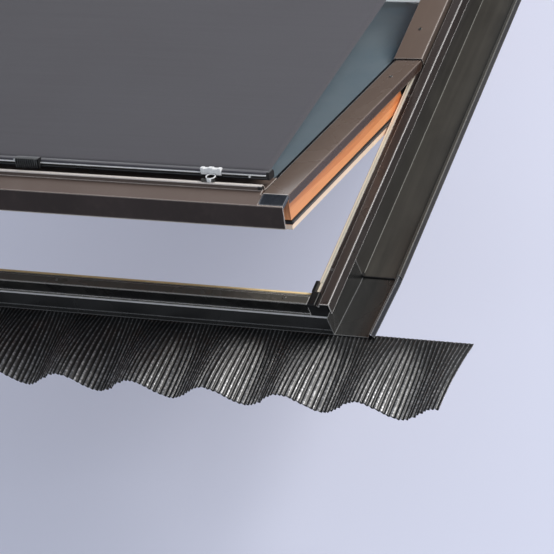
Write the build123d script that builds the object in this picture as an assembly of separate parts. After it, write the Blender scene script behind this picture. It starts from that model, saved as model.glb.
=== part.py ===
from build123d import *
import os
from math import atan2, cos, degrees, pi, radians, sin, sqrt

# Centre-pivot roof window with its flashing and an awning blind, the sash standing open.
# Millimetres. X runs across the window, Y up its slope, Z straight out of its face. The origin is the
# centre of the four fixing brackets, on their undersides. Sash pieces are drawn shut and then turned.

# Window and pivot
FRAME_WIDTH = 1140.0
FRAME_HEIGHT = 1180.0
FRAME_TOP = 70.0
FRAME_DEPTH = 98.0
SIDE_TIMBER = 38.0
END_TIMBER = 28.0
PIVOT_Z = 52.0
OPEN_ANGLE = 22.0
EDGE_EASE = 2.0

# Lining groove and sill inside the frame
GROOVE_DEPTH = 10.0
GROOVE_WIDTH = 15.0
GROOVE_FROM_BOTTOM = 10.0
SILL_REACH = 17.0
SILL_TOP = -3.0
SILL_FALL = 4.0

# Sash timber; heights n are measured from the pivot, square to the sash
SASH_GAP = 4.0
SASH_TIMBER = 50.0
SASH_TOP_N = 34.0
SASH_BOTTOM_N = -50.0
SASH_BEVEL = 9.0
REBATE_WALL = 25.0
REBATE_N = 4.0
SEAL_GROOVE_LOW_N = -40.0
SEAL_GROOVE_HIGH_N = -31.0
SEAL_GROOVE_DEPTH = 4.0
SEAL_PROUD = 2.6
SEAL_SLACK = 0.5

# Glass
PANE = 4.0
PANE_SPACE = 16.0
GLASS_EDGE_GAP = 2.0
SPACER_WIDTH = 12.0
SPACER_INSET = 8.0
GASKET_WIDTH = 19.0
GASKET_HEIGHT = 3.5
GASKET_CHAMFER = 2.0

# Frame covers of bent sheet
SHEET = 1.2
BEND = 0.8
COVER_STANDOFF = 6.5
COVER_TOP_WIDTH = 19.5
COVER_STEP_RUN = 3.0
COVER_LAP = 11.0
COVER_RISE = 10.0
COVER_SKIRT = 24.0
COVER_END_OVERHANG = 5.0
COVER_END_RADIUS = 14.0
BOTTOM_COVER_RISE = 7.5
BOTTOM_COVER_INNER = 22.0
BOTTOM_COVER_OVERHANG = 4.5
BOTTOM_COVER_STEP = 5.0
BOTTOM_FASCIA = 30.0
BOTTOM_DRIP = 3.0

# Rubber seals in the frame's lower corners
CORNER_BLOCK_WIDTH = 16.0
CORNER_BLOCK_LAP = 2.0
CORNER_FACE = 2.5
CORNER_ROUND = 2.0
FIN_WIDTH = 5.0
FIN_HEIGHT = 10.0
FIN_REACH = 24.0
FIN_ROUND = 4.0

# Sash covers of bent sheet
SASH_COVER_LAP = 23.0
SASH_COVER_N = 38.0
SASH_COVER_INNER_N = 36.0
GLASS_LAP = 6.0
SASH_LIP_REACH = 1.5
SASH_SKIRT = 17.0
SASH_END_LAP = 4.0
SASH_COVER_HEAD = 12.0
HEAD_CUT_START = -8.0
SASH_FASCIA_OVERHANG = 32.0
SASH_FASCIA_N = 27.0
SASH_FASCIA = 43.0
SASH_FASCIA_RAKE = 2.0
SASH_HEM = 6.0
LIP_SETBACK = 36.0
LIP_WIDTH = 8.0
LIP_N = 47.0
LIP_SLOPE = 4.0
CAP_LAP = 3.0
CAP_WALL = 1.0
CAP_SHELL = 2.0
CAP_ROUND = 3.0
CAP_NOSE = 4.0

# Upper covers, fixed to the frame above the pivots
UPPER_START = 15.5
UPPER_NEST = 2.2
UPPER_LIFT = 0.8
UPPER_REACH = 3.5
UPPER_LIP = 4.2

# Pivot hinges
HINGE_LENGTH = 120.0
HINGE_PLATE = 2.5
HINGE_BELOW = 20.0
HINGE_ABOVE = 16.0
STUD_R = 7.0
STUD_CLEARANCE = 0.05
STUD_IN_SASH = 6.0
WASHER_R = 20.0
RUNNING_GAP = 0.3

# Awning blind
FABRIC_INSET = 35.0
FABRIC = 1.0
BAR_SETBACK = 18.0
BAR_N = 60.0
BAR_DEPTH = 20.0
BAR_HEIGHT = 15.0
BAR_LEAD = 14.0
BAR_CORNER = 3.0
BAR_WALL = 2.5
BAR_CAP = 5.0
WELT_R = 1.6
WELT_CLEARANCE = 0.08
MOUTH_ABOVE_PIVOT = 50.0
FABRIC_TAIL = 50.0
CLIP_INSET = 111.0
CLIP_WIDTH = 42.0
CLIP_HEIGHT = 9.0
CLIP_HOOD = 6.0
CLIP_WALL = 2.5
CLIP_HOOK = 20.0
KEEPER_PIN_R = 2.5
KEEPER_RISE = 4.0
KEEPER_POST = 3.0
GRIP_WIDTH = 50.0
GRIP_DEPTH = 4.0
GRIP_HOOD = 8.0
GRIP_SHELL = 2.0
GRIP_RIBS = 10
ROLLER_BACK = 23.0
ROLLER_Z = 62.0
TUBE_R = 12.0
WOUND_R = 14.5
GUDGEON_R = 4.0
BORE_CLEARANCE = 0.06
KEYWAY_WIDTH = 2.0
GUIDE_R = 4.5
GUIDE_CLEARANCE = 1.0

# Top casing
CASING_OVERHANG = 42.0
CASING_TOP_Z = 116.0
CASING_REACH = 106.0
CASING_BACK_Z = 96.0
CASING_FLOOR_Z = 36.0
CASING_SHEET = 1.5
CASING_LIP = 8.0
CASING_NOSE = 2.0
CASING_TAIL = 6.0
MOUTH_LIP = 5.5
END_PLATE = 3.0
CHEEK_GAP = 5.0
CHEEK = 4.0

# Flashing
GUTTER_FLOOR = 6.0
GUTTER_SHEET = 1.0
FLASHING_CLEARANCE = 0.6
GUTTER_WIDTH = 67.4
GUTTER_BEAD = 10.0
BEAD_WIDTH = 14.0
BEAD_SLOPE = 4.0
GUTTER_TOP = 62.0
CORNER_LENGTH = 128.0
GUTTER_LAP = 14.0
LAP_INSET = 1.3
CORNER_RISE = 12.0
FLASHING_REACH = 22.0
FLASHING_FRONT_Z = 17.0
FLASHING_LIP = 8.0
FLASHING_LIP_FALL = 2.0
UPSTAND = 12.0
UPSTAND_FOLD = 4.0
HEAD_FLASHING_DEPTH = 104.0

# Apron
APRON_SIDE = 280.0
APRON_TUCK = 8.0
APRON_LENGTH = 166.0
APRON_SHEET = 1.6
WAVE_PITCH = 154.0
WAVE_CREST_X = 69.0
WAVE_CREST_Z = 46.0
WAVE_TROUGH_Z = 6.0
PLEATS_PER_WAVE = 18
PLEAT_DEPTH = 3.0

# Brackets and screws
BRACKET_FROM_END = 160.0
BRACKET_HOLE_OUT = 50.0
BRACKET_WIDTH = 60.0
BRACKET_THICK = 3.0
BRACKET_REACH = 76.0
BRACKET_LEG = 45.0
BRACKET_ROUND = 12.0
BRACKET_HOLE_R = 3.5
BRACKET_SCREW_R = 2.5
BRACKET_SCREW_HEAD = 5.0
BRACKET_SCREW_HEAD_HEIGHT = 0.5
BRACKET_SCREW_LENGTH = 30.0
BRACKET_SCREW_Z = 30.0
SCREW_R = 3.6
SCREW_HEAD = 1.2
SCREW_FROM_EDGE = 5.5
SCREW_FROM_END = 85.0
SCREW_PIVOT_Y = 65.0
SCREW_BOTTOM_INSET = 49.0
SCREW_BOTTOM_BACK = 11.0
SCREW_COVER_INSET = 6.0
SCREW_COVER_Y = 78.0
SCREW_UPPER_Y = 95.0

# Operating parts inside the sash
CONTROL_HALF = 400.0
CONTROL_SETBACK = 18.0
CONTROL_DROP = 8.0
CONTROL_ARM = 28.0
CONTROL_ARM_HEIGHT = 10.0
CONTROL_LATCHED = 8.0
CONTROL_SWING = 30.0
CONTROL_GRIP_DEPTH = 20.0
CONTROL_GRIP_HEIGHT = 12.0
CONTROL_ARM_INSET = 20.0
CONTROL_ARM_WIDTH = 8.0
CONTROL_PIN_R = 3.0
CONTROL_PIN_END = 5.0
EAR = 3.0
EAR_HALF = 8.0
EAR_BELOW = 6.0
FLAP_HALF = 440.0
FLAP_SETBACK = 4.0
FLAP_RISE = 2.8
FLAP_LENGTH = 15.0
FLAP_SHEET = 3.0
FLAP_OPEN = 12.0
FLAP_PIN_R = 1.8
FLAP_HINGE_INSET = 40.0
FLAP_HINGE_HALF = 6.0
FILTER_SLOT_WIDTH = 8.0
FILTER_SLOT_DEPTH = 10.0
FILTER_SLOT_START = 3.0
FILTER_SLOT_END = 24.0
LATCH_HALF = 12.0
LATCH_THICK = 16.0
LATCH_LENGTH = 38.0
LATCH_N = -14.0
LATCH_THROW = 10.0
LATCH_CLEARANCE = 0.3
LATCH_POINT = 4.0
STRIKE_SHEET = 2.0
STRIKE_MARGIN = 12.0
STRIKE_SIDE_GAP = 4.0
STRIKE_HOLE_GAP = 2.0

# Places that follow from the sizes
HALF_WIDTH = FRAME_WIDTH / 2
HALF_HEIGHT = FRAME_HEIGHT / 2
FRAME_BOTTOM = FRAME_TOP - FRAME_DEPTH
INNER_X = HALF_WIDTH - SIDE_TIMBER
INNER_Y = HALF_HEIGHT - END_TIMBER
SASH_X = INNER_X - SASH_GAP
SASH_Y = INNER_Y - SASH_GAP
REBATE_X = SASH_X - REBATE_WALL
REBATE_Y = SASH_Y - REBATE_WALL
GLASS_N = REBATE_N + 2 * PANE + PANE_SPACE
FLOOR_Z = FRAME_TOP + SHEET
COVER_TOP = FRAME_TOP + COVER_RISE
COVER_EDGE_X = HALF_WIDTH + COVER_STANDOFF
COVER_STEP_X = COVER_EDGE_X - COVER_TOP_WIDTH
COVER_INNER_X = INNER_X + COVER_LAP
SASH_COVER_X = SASH_X + SASH_COVER_LAP
SASH_COVER_INNER_X = REBATE_X - GLASS_LAP
SASH_COVER_END = HALF_HEIGHT + SASH_END_LAP
SASH_FASCIA_Y = HALF_HEIGHT + SASH_FASCIA_OVERHANG
LIP_OUTER = SASH_FASCIA_Y - LIP_SETBACK
LIP_INNER = LIP_OUTER - LIP_WIDTH
FABRIC_HALF = INNER_X - FABRIC_INSET
LIP_END_X = SASH_COVER_INNER_X - SASH_LIP_REACH - RUNNING_GAP
CAP_INNER_X = SASH_COVER_INNER_X + CAP_LAP
BAR_Y = LIP_INNER - BAR_SETBACK
CLIP_X = FABRIC_HALF - CLIP_INSET
ROLLER_Y = HALF_HEIGHT + ROLLER_BACK
CASING_FRONT_Y = HALF_HEIGHT - CASING_OVERHANG
CASING_BACK_Y = HALF_HEIGHT + CASING_REACH
CHEEK_X = FABRIC_HALF + CHEEK_GAP
GUTTER_WALL_X = HALF_WIDTH + END_PLATE + FLASHING_CLEARANCE + GUTTER_SHEET
GUTTER_EDGE_X = GUTTER_WALL_X + GUTTER_WIDTH
GUTTER_OUTER_X = GUTTER_EDGE_X + BEAD_WIDTH
GUTTER_JOINT_Y = -HALF_HEIGHT + CORNER_LENGTH
FLASHING_FRONT_Y = -HALF_HEIGHT - FLASHING_REACH
APRON_HALF = HALF_WIDTH + APRON_SIDE
APRON_BOTTOM_Y = FLASHING_FRONT_Y - APRON_LENGTH
BRACKET_Y = HALF_HEIGHT - BRACKET_FROM_END
BRACKET_HOLE_X = HALF_WIDTH + BRACKET_HOLE_OUT
SCREW_SIDE_X = COVER_INNER_X + SCREW_FROM_EDGE
SCREW_SIDE_Y = HALF_HEIGHT - SCREW_FROM_END
SCREW_BOTTOM_X = INNER_X - SCREW_BOTTOM_INSET
SCREW_COVER_X = SASH_X - SCREW_COVER_INSET
CONTROL_Y = SASH_Y - CONTROL_SETBACK
CONTROL_N = SASH_BOTTOM_N - CONTROL_DROP
CONTROL_ARM_X = CONTROL_HALF - CONTROL_ARM_INSET
FLAP_Y = REBATE_Y + FLAP_SETBACK
FLAP_N = SASH_TOP_N + FLAP_RISE
FLAP_HINGE_X = FLAP_HALF - FLAP_HINGE_INSET
PIVOT = Axis((0, 0, PIVOT_Z), (1, 0, 0))
OVERRUN = 1.0

parts = {}


def along_x(outline, start, end):
    """Solid of an outline drawn as (y, z), from start to end across the window."""
    plane = Plane(origin=(start, 0, 0), x_dir=(0, 1, 0), z_dir=(1, 0, 0))
    return extrude(plane * outline, amount=end - start)


def along_y(outline, start, end):
    """Solid of an outline drawn as (x, z), from start to end up the slope."""
    plane = Plane(origin=(0, end, 0), x_dir=(1, 0, 0), z_dir=(0, -1, 0))
    return extrude(plane * outline, amount=end - start)


def polygon(*points):
    return make_face(Polyline(*points, close=True))


def box(x, y, z):
    """Box between the given pairs of limits."""
    size = [abs(pair[1] - pair[0]) for pair in (x, y, z)]
    middle = [(pair[0] + pair[1]) / 2 for pair in (x, y, z)]
    return Pos(*middle) * Box(*size)


def rod_x(radius, start, end, y, z):
    """Round rod across the window."""
    return Pos((start + end) / 2, y, z) * Rot(0, 90, 0) * Cylinder(radius, end - start)


def folded(path, thickness, bend):
    """Outline of a sheet bent along path, its thickness to the left of the path."""
    steps = [(b[0] - a[0], b[1] - a[1]) for a, b in zip(path, path[1:])]
    headings = [atan2(dy, dx) for dx, dy in steps]
    other = []
    radii_path = []
    radii_other = []
    for i, (x, y) in enumerate(path):
        before = headings[max(i - 1, 0)]
        after = headings[min(i, len(headings) - 1)]
        nx = -(sin(before) + sin(after))
        ny = cos(before) + cos(after)
        scale = thickness / (1 + cos(after - before))
        other.append((x + nx * scale, y + ny * scale))
        if 0 < i < len(path) - 1:
            left_turn = sin(after - before) > 0
            radii_path.append(bend + thickness if left_turn else bend)
            radii_other.append(bend if left_turn else bend + thickness)
    if len(path) > 2:
        near = FilletPolyline(*path, radius=radii_path)
        far = FilletPolyline(*other, radius=radii_other)
    else:
        near = Line(*path)
        far = Line(*other)
    ends = Line(path[-1], other[-1]) + Line(other[0], path[0])
    return make_face(near + far + ends)


def flip(piece):
    """The same piece for the other side of the window."""
    return mirror(piece, about=Plane.YZ)


def both_sides(name, piece):
    """Right piece as drawn, left piece as its mirror image."""
    parts["right_" + name] = piece
    parts["left_" + name] = flip(piece)


def opened(piece):
    """A sash piece, drawn shut, turned about the pivots to where it stands."""
    return piece.rotate(PIVOT, -OPEN_ANGLE)


def group(solids):
    """Like pieces that share one node, each a solid of its own."""
    return Compound(list(solids))


def ring(outer_x, outer_y, inner_x, inner_y, low, high):
    """Rectangular ring about the window's centre."""
    outside = box((-outer_x, outer_x), (-outer_y, outer_y), (low, high))
    inside = box((-inner_x, inner_x), (-inner_y, inner_y), (low - OVERRUN, high + OVERRUN))
    return outside - inside


# Pivot hinges: a plate with a stud in each frame side, a plate with a bush in each stile

HINGE_LOW = PIVOT_Z - HINGE_BELOW
HINGE_HIGH = PIVOT_Z + HINGE_ABOVE


def hinge_plate(inner, outer):
    """Plate with round ends, between two distances from the window's middle."""
    height = HINGE_HIGH - HINGE_LOW
    outline = SlotOverall(HINGE_LENGTH, height)
    middle = (HINGE_HIGH + HINGE_LOW) / 2
    return along_x(Pos(0, middle) * outline, inner, outer)


def frame_hinge():
    plate = hinge_plate(INNER_X, INNER_X + HINGE_PLATE)
    stud = rod_x(STUD_R, SASH_X - STUD_IN_SASH, INNER_X + HINGE_PLATE, 0, PIVOT_Z)
    return plate + stud


def sash_hinge():
    plate = hinge_plate(SASH_X - HINGE_PLATE, SASH_X)
    washer = rod_x(WASHER_R, SASH_X, INNER_X - RUNNING_GAP, 0, PIVOT_Z)
    bush = rod_x(STUD_R + STUD_CLEARANCE, SASH_X - 2 * STUD_IN_SASH, INNER_X, 0, PIVOT_Z)
    return plate + washer - bush


# Frame timbers

def frame_side():
    groove_low = FRAME_BOTTOM + GROOVE_FROM_BOTTOM
    groove_high = groove_low + GROOVE_WIDTH
    groove_x = INNER_X + GROOVE_DEPTH
    outline = polygon(
        (HALF_WIDTH, FRAME_BOTTOM),
        (HALF_WIDTH, FRAME_TOP),
        (INNER_X + EDGE_EASE, FRAME_TOP),
        (INNER_X, FRAME_TOP - EDGE_EASE),
        (INNER_X, groove_high),
        (groove_x, groove_high),
        (groove_x, groove_low),
        (INNER_X, groove_low),
        (INNER_X, FRAME_BOTTOM),
    )
    rail = along_y(outline, -HALF_HEIGHT, HALF_HEIGHT)
    rail -= hinge_plate(INNER_X - OVERRUN, INNER_X + HINGE_PLATE)
    for y in (-BRACKET_Y, BRACKET_Y):
        rail -= bracket_screw(y)
    return rail


def frame_bottom():
    groove_low = FRAME_BOTTOM + GROOVE_FROM_BOTTOM / 2
    groove_high = groove_low + GROOVE_WIDTH / 2
    sill_y = -INNER_Y + SILL_REACH
    outline = polygon(
        (-HALF_HEIGHT, FRAME_BOTTOM),
        (-HALF_HEIGHT, FRAME_TOP),
        (-INNER_Y - EDGE_EASE, FRAME_TOP),
        (-INNER_Y, FRAME_TOP - EDGE_EASE),
        (-INNER_Y, SILL_TOP),
        (sill_y, SILL_TOP - SILL_FALL),
        (sill_y, groove_high),
        (sill_y - GROOVE_DEPTH, groove_high),
        (sill_y - GROOVE_DEPTH, groove_low),
        (sill_y, groove_low),
        (sill_y, FRAME_BOTTOM),
    )
    return along_x(outline, -INNER_X, INNER_X)


def frame_head():
    groove_low = FRAME_BOTTOM + GROOVE_FROM_BOTTOM
    groove_high = groove_low + GROOVE_WIDTH
    outline = polygon(
        (HALF_HEIGHT, FRAME_BOTTOM),
        (HALF_HEIGHT, FRAME_TOP),
        (INNER_Y + EDGE_EASE, FRAME_TOP),
        (INNER_Y, FRAME_TOP - EDGE_EASE),
        (INNER_Y, groove_high),
        (INNER_Y + GROOVE_DEPTH, groove_high),
        (INNER_Y + GROOVE_DEPTH, groove_low),
        (INNER_Y, groove_low),
        (INNER_Y, FRAME_BOTTOM),
    )
    rail = along_x(outline, -INNER_X, INNER_X)
    return rail - strike_pocket() - strike_blank()


# Latch and its strike

LATCH_Z = PIVOT_Z + LATCH_N
STRIKE_HALF = LATCH_HALF + STRIKE_SIDE_GAP
STRIKE_TALL = LATCH_THICK / 2 + STRIKE_SIDE_GAP


def strike_pocket():
    deep = SASH_Y + LATCH_THROW + LATCH_CLEARANCE + STRIKE_SHEET
    return box(
        (-STRIKE_HALF, STRIKE_HALF),
        (INNER_Y - OVERRUN, deep),
        (LATCH_Z - STRIKE_TALL, LATCH_Z + STRIKE_TALL),
    )


def strike_blank():
    half = STRIKE_HALF + STRIKE_MARGIN
    return box(
        (-half, half),
        (INNER_Y, INNER_Y + STRIKE_SHEET),
        (LATCH_Z - STRIKE_TALL, LATCH_Z + STRIKE_TALL),
    )


def strike_plate():
    tall = LATCH_THICK / 2 + STRIKE_HOLE_GAP
    hole = box(
        (-STRIKE_HALF, STRIKE_HALF),
        (INNER_Y - OVERRUN, INNER_Y + STRIKE_SHEET + OVERRUN),
        (LATCH_Z - tall, LATCH_Z + tall),
    )
    return strike_blank() - hole


def latch_bolt():
    bolt = box(
        (-LATCH_HALF, LATCH_HALF),
        (SASH_Y - LATCH_LENGTH, SASH_Y),
        (LATCH_Z - LATCH_THICK / 2, LATCH_Z + LATCH_THICK / 2),
    )
    nose = bolt.edges().filter_by(Axis.X).group_by(Axis.Y)[-1]
    return chamfer(nose, LATCH_POINT)


def latch_pocket():
    half = LATCH_HALF + LATCH_CLEARANCE
    tall = LATCH_THICK / 2 + LATCH_CLEARANCE
    return box(
        (-half, half),
        (SASH_Y - LATCH_LENGTH, SASH_Y + OVERRUN),
        (LATCH_Z - tall, LATCH_Z + tall),
    )


# Frame covers

def frame_side_cover():
    path = [
        (COVER_EDGE_X, COVER_TOP - COVER_SKIRT),
        (COVER_EDGE_X, COVER_TOP),
        (COVER_STEP_X, COVER_TOP),
        (COVER_STEP_X - COVER_STEP_RUN, FLOOR_Z),
        (COVER_INNER_X, FLOOR_Z),
    ]
    low_end = -HALF_HEIGHT - COVER_END_OVERHANG
    cover = along_y(folded(path, SHEET, BEND), low_end, HALF_HEIGHT - SHEET)
    corner_x = COVER_INNER_X + COVER_END_RADIUS
    corner_y = low_end + COVER_END_RADIUS
    square = box(
        (COVER_INNER_X - OVERRUN, corner_x),
        (low_end - OVERRUN, corner_y),
        (FRAME_TOP - OVERRUN, COVER_TOP + OVERRUN),
    )
    round_end = Pos(corner_x, corner_y, COVER_TOP) * Cylinder(COVER_END_RADIUS, 4 * COVER_RISE)
    return cover - (square - round_end)


BOTTOM_ARRIS_Y = -HALF_HEIGHT - BOTTOM_COVER_OVERHANG
BOTTOM_ARRIS_Z = FRAME_TOP + BOTTOM_COVER_RISE
BOTTOM_INNER_Y = -HALF_HEIGHT + BOTTOM_COVER_INNER
BOTTOM_LOW_Z = BOTTOM_ARRIS_Z - BOTTOM_FASCIA


def frame_bottom_cover():
    path = [
        (BOTTOM_INNER_Y, FLOOR_Z),
        (BOTTOM_INNER_Y - BOTTOM_COVER_STEP, FLOOR_Z),
        (BOTTOM_INNER_Y - BOTTOM_COVER_STEP - BOTTOM_DRIP, BOTTOM_ARRIS_Z),
        (BOTTOM_ARRIS_Y, BOTTOM_ARRIS_Z),
        (BOTTOM_ARRIS_Y, BOTTOM_LOW_Z + BOTTOM_DRIP),
        (BOTTOM_ARRIS_Y - BOTTOM_DRIP, BOTTOM_LOW_Z),
    ]
    return along_x(folded(path, SHEET, BEND), -INNER_X, INNER_X)


def corner_seal():
    """Rubber in the frame's lower corner: block, face over the timber's end, plug and fin."""
    block = box(
        (INNER_X, INNER_X + CORNER_BLOCK_WIDTH),
        (BOTTOM_ARRIS_Y - CORNER_BLOCK_LAP, -INNER_Y - CORNER_BLOCK_LAP),
        (FRAME_TOP, BOTTOM_ARRIS_Z + OVERRUN),
    )
    block = fillet(block.edges().group_by(Axis.Z)[-1], CORNER_ROUND)
    fin = box(
        (INNER_X, INNER_X + FIN_WIDTH),
        (-INNER_Y - FIN_WIDTH, -INNER_Y + FIN_REACH),
        (FRAME_TOP, FRAME_TOP + FIN_HEIGHT),
    )
    fin = fillet(fin.edges().filter_by(Axis.X).group_by(Axis.Z)[-1], FIN_ROUND)
    face_y = (-HALF_HEIGHT - 2 * GUTTER_SHEET - CORNER_FACE, -HALF_HEIGHT - 2 * GUTTER_SHEET)
    face_end = HALF_WIDTH + CORNER_BLOCK_LAP
    face = box((INNER_X, face_end), face_y, (BOTTOM_LOW_Z, FLOOR_Z))
    face += box((COVER_STEP_X, face_end), face_y, (FRAME_TOP, BOTTOM_ARRIS_Z + OVERRUN))
    return block + fin + face - frame_side_cover()


# Upper covers

UPPER_X = SASH_COVER_X + UPPER_NEST
UPPER_TOP = PIVOT_Z + SASH_COVER_N + UPPER_LIFT
UPPER_INNER_X = SASH_COVER_INNER_X - UPPER_REACH
UPPER_INNER_Z = PIVOT_Z + SASH_COVER_INNER_N + UPPER_LIFT


def upper_cover():
    path = [
        (UPPER_X, FLOOR_Z),
        (UPPER_X, UPPER_TOP),
        (UPPER_INNER_X, UPPER_INNER_Z),
        (UPPER_INNER_X - SASH_LIP_REACH, UPPER_INNER_Z - UPPER_LIP),
    ]
    head = CASING_FRONT_Y + CASING_LIP
    cover = along_y(folded(path, SHEET, BEND), UPPER_START, head)
    over_rail = box(
        (UPPER_INNER_X - 2 * SASH_LIP_REACH, UPPER_INNER_X + 2 * SHEET),
        (REBATE_Y - RUNNING_GAP, head + OVERRUN),
        (FLOOR_Z, PIVOT_Z + SASH_TOP_N + RUNNING_GAP),
    )
    return cover - over_rail


# Top casing, its ends and what runs between them

def casing():
    path = [
        (HALF_HEIGHT, FRAME_TOP - CASING_TAIL),
        (HALF_HEIGHT, CASING_FLOOR_Z),
        (CASING_BACK_Y, CASING_FLOOR_Z),
        (CASING_BACK_Y, CASING_BACK_Z),
        (CASING_FRONT_Y + CASING_LIP, CASING_TOP_Z),
        (CASING_FRONT_Y, CASING_TOP_Z - CASING_NOSE),
        (CASING_FRONT_Y, CASING_TOP_Z - CASING_NOSE - MOUTH_LIP),
    ]
    return along_x(folded(path, CASING_SHEET, BEND), -HALF_WIDTH, HALF_WIDTH)


MOUTH_Z = PIVOT_Z + MOUTH_ABOVE_PIVOT
BAR_REACH = sqrt(BAR_Y ** 2 + BAR_N ** 2)
MOUTH_Y = sqrt(BAR_REACH ** 2 - MOUTH_ABOVE_PIVOT ** 2)
GUIDE_Z = MOUTH_Z - FABRIC / 2 - GUIDE_R - GUIDE_CLEARANCE


def casing_end():
    """End plate, front closing plate and the cheek that holds the roller and the guide rod."""
    plate_outline = polygon(
        (CASING_FRONT_Y, UPPER_TOP),
        (CASING_FRONT_Y, CASING_TOP_Z - CASING_NOSE),
        (CASING_FRONT_Y + CASING_LIP, CASING_TOP_Z),
        (CASING_BACK_Y, CASING_BACK_Z),
        (CASING_BACK_Y, CASING_FLOOR_Z),
        (HALF_HEIGHT, CASING_FLOOR_Z),
        (HALF_HEIGHT, UPPER_TOP),
    )
    plate = along_x(plate_outline, HALF_WIDTH, HALF_WIDTH + END_PLATE)
    front = box(
        (CHEEK_X + CHEEK, HALF_WIDTH),
        (CASING_FRONT_Y + CASING_SHEET, CASING_FRONT_Y + CASING_SHEET + END_PLATE),
        (UPPER_TOP, CASING_TOP_Z - CASING_NOSE - 2 * CASING_SHEET),
    )
    cheek_outline = polygon(
        (CASING_FRONT_Y + CASING_SHEET, UPPER_TOP),
        (CASING_FRONT_Y + CASING_SHEET, CASING_TOP_Z - CASING_NOSE - 2 * CASING_SHEET),
        (ROLLER_Y + WOUND_R, CASING_BACK_Z + CASING_TAIL),
        (ROLLER_Y + WOUND_R, CASING_FLOOR_Z + CASING_SHEET),
        (HALF_HEIGHT + 2 * CASING_SHEET, CASING_FLOOR_Z + CASING_SHEET),
        (HALF_HEIGHT + CASING_SHEET, CASING_FLOOR_Z + 2 * CASING_SHEET),
        (HALF_HEIGHT + CASING_SHEET, FRAME_TOP),
        (INNER_Y + EDGE_EASE, FRAME_TOP),
        (INNER_Y + EDGE_EASE, UPPER_TOP),
    )
    cheek = along_x(cheek_outline, CHEEK_X, CHEEK_X + CHEEK)
    start = CHEEK_X - OVERRUN
    end = CHEEK_X + CHEEK + OVERRUN
    cheek -= rod_x(GUDGEON_R + BORE_CLEARANCE, start, end, ROLLER_Y, ROLLER_Z)
    cheek -= rod_x(GUIDE_R, start, end, MOUTH_Y, GUIDE_Z)
    rib = box(
        (CHEEK_X + CHEEK, HALF_WIDTH),
        (INNER_Y + EDGE_EASE, HALF_HEIGHT),
        (UPPER_TOP, UPPER_TOP + END_PLATE),
    )
    return plate + front + cheek + rib


def guide_rod():
    return rod_x(GUIDE_R, -CHEEK_X - CHEEK, CHEEK_X + CHEEK, MOUTH_Y, GUIDE_Z)


def roller_tube():
    gudgeon_end = CHEEK_X + CHEEK
    tube_end = CHEEK_X - CHEEK / 2
    tube = rod_x(TUBE_R, -tube_end, tube_end, ROLLER_Y, ROLLER_Z)
    tube += rod_x(GUDGEON_R, -gudgeon_end, gudgeon_end, ROLLER_Y, ROLLER_Z)
    keyway = box(
        (-FABRIC_HALF, FABRIC_HALF),
        (ROLLER_Y - KEYWAY_WIDTH / 2, ROLLER_Y + KEYWAY_WIDTH / 2),
        (ROLLER_Z - TUBE_R - OVERRUN, ROLLER_Z - TUBE_R + KEYWAY_WIDTH),
    )
    return tube - keyway


def wound_fabric():
    roll = rod_x(WOUND_R, -FABRIC_HALF, FABRIC_HALF, ROLLER_Y, ROLLER_Z)
    return roll - rod_x(TUBE_R, -CHEEK_X, CHEEK_X, ROLLER_Y, ROLLER_Z)


# Flashing

def side_gutter():
    path = [
        (GUTTER_OUTER_X, GUTTER_FLOOR),
        (GUTTER_OUTER_X - BEAD_SLOPE, GUTTER_FLOOR + GUTTER_BEAD),
        (GUTTER_EDGE_X + BEAD_SLOPE, GUTTER_FLOOR + GUTTER_BEAD),
        (GUTTER_EDGE_X, GUTTER_FLOOR),
        (GUTTER_WALL_X, GUTTER_FLOOR),
        (GUTTER_WALL_X, GUTTER_TOP),
    ]
    return along_y(folded(path, GUTTER_SHEET, BEND), GUTTER_JOINT_Y, CASING_BACK_Y)


def corner_section(floor, y):
    """Section of the bottom flashing's corner return, its floor at the given height."""
    outer = GUTTER_OUTER_X - LAP_INSET
    edge = GUTTER_EDGE_X + LAP_INSET
    wall = GUTTER_WALL_X
    sheet = GUTTER_SHEET
    bead = GUTTER_BEAD
    outline = polygon(
        (outer, floor),
        (outer - BEAD_SLOPE, floor + bead),
        (edge + BEAD_SLOPE, floor + bead),
        (edge, floor),
        (wall, floor),
        (wall, GUTTER_TOP),
        (wall - sheet, GUTTER_TOP),
        (wall - sheet, floor - sheet),
        (edge, floor - sheet),
        (edge + BEAD_SLOPE, floor + bead - sheet),
        (outer - BEAD_SLOPE, floor + bead - sheet),
        (outer, floor - sheet),
    )
    return Plane(origin=(0, y, 0), x_dir=(1, 0, 0), z_dir=(0, -1, 0)) * outline


def bottom_flashing():
    """Front fold under the bottom cover, with a corner return up each side."""
    upstand_y = -HALF_HEIGHT - GUTTER_SHEET
    path = [
        (upstand_y, BOTTOM_LOW_Z + UPSTAND),
        (upstand_y, BOTTOM_LOW_Z - UPSTAND_FOLD),
        (FLASHING_FRONT_Y + FLASHING_LIP, FLASHING_FRONT_Z + FLASHING_LIP_FALL),
        (FLASHING_FRONT_Y, FLASHING_FRONT_Z),
    ]
    front = along_x(folded(path, GUTTER_SHEET, BEND), -GUTTER_WALL_X, GUTTER_WALL_X)
    low_floor = GUTTER_FLOOR - GUTTER_SHEET
    lap = corner_section(low_floor, GUTTER_JOINT_Y + GUTTER_LAP)
    joint = corner_section(low_floor, GUTTER_JOINT_Y - GUTTER_LAP)
    front_end = corner_section(low_floor + CORNER_RISE, FLASHING_FRONT_Y)
    corner = loft([front_end, joint, lap], ruled=True)
    under_lap = box(
        (GUTTER_WALL_X - 2 * GUTTER_SHEET, GUTTER_WALL_X + OVERRUN),
        (GUTTER_JOINT_Y, GUTTER_JOINT_Y + GUTTER_LAP + OVERRUN),
        (GUTTER_FLOOR - GUTTER_SHEET, GUTTER_TOP + OVERRUN),
    )
    corner -= under_lap
    return front + corner + flip(corner)


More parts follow.
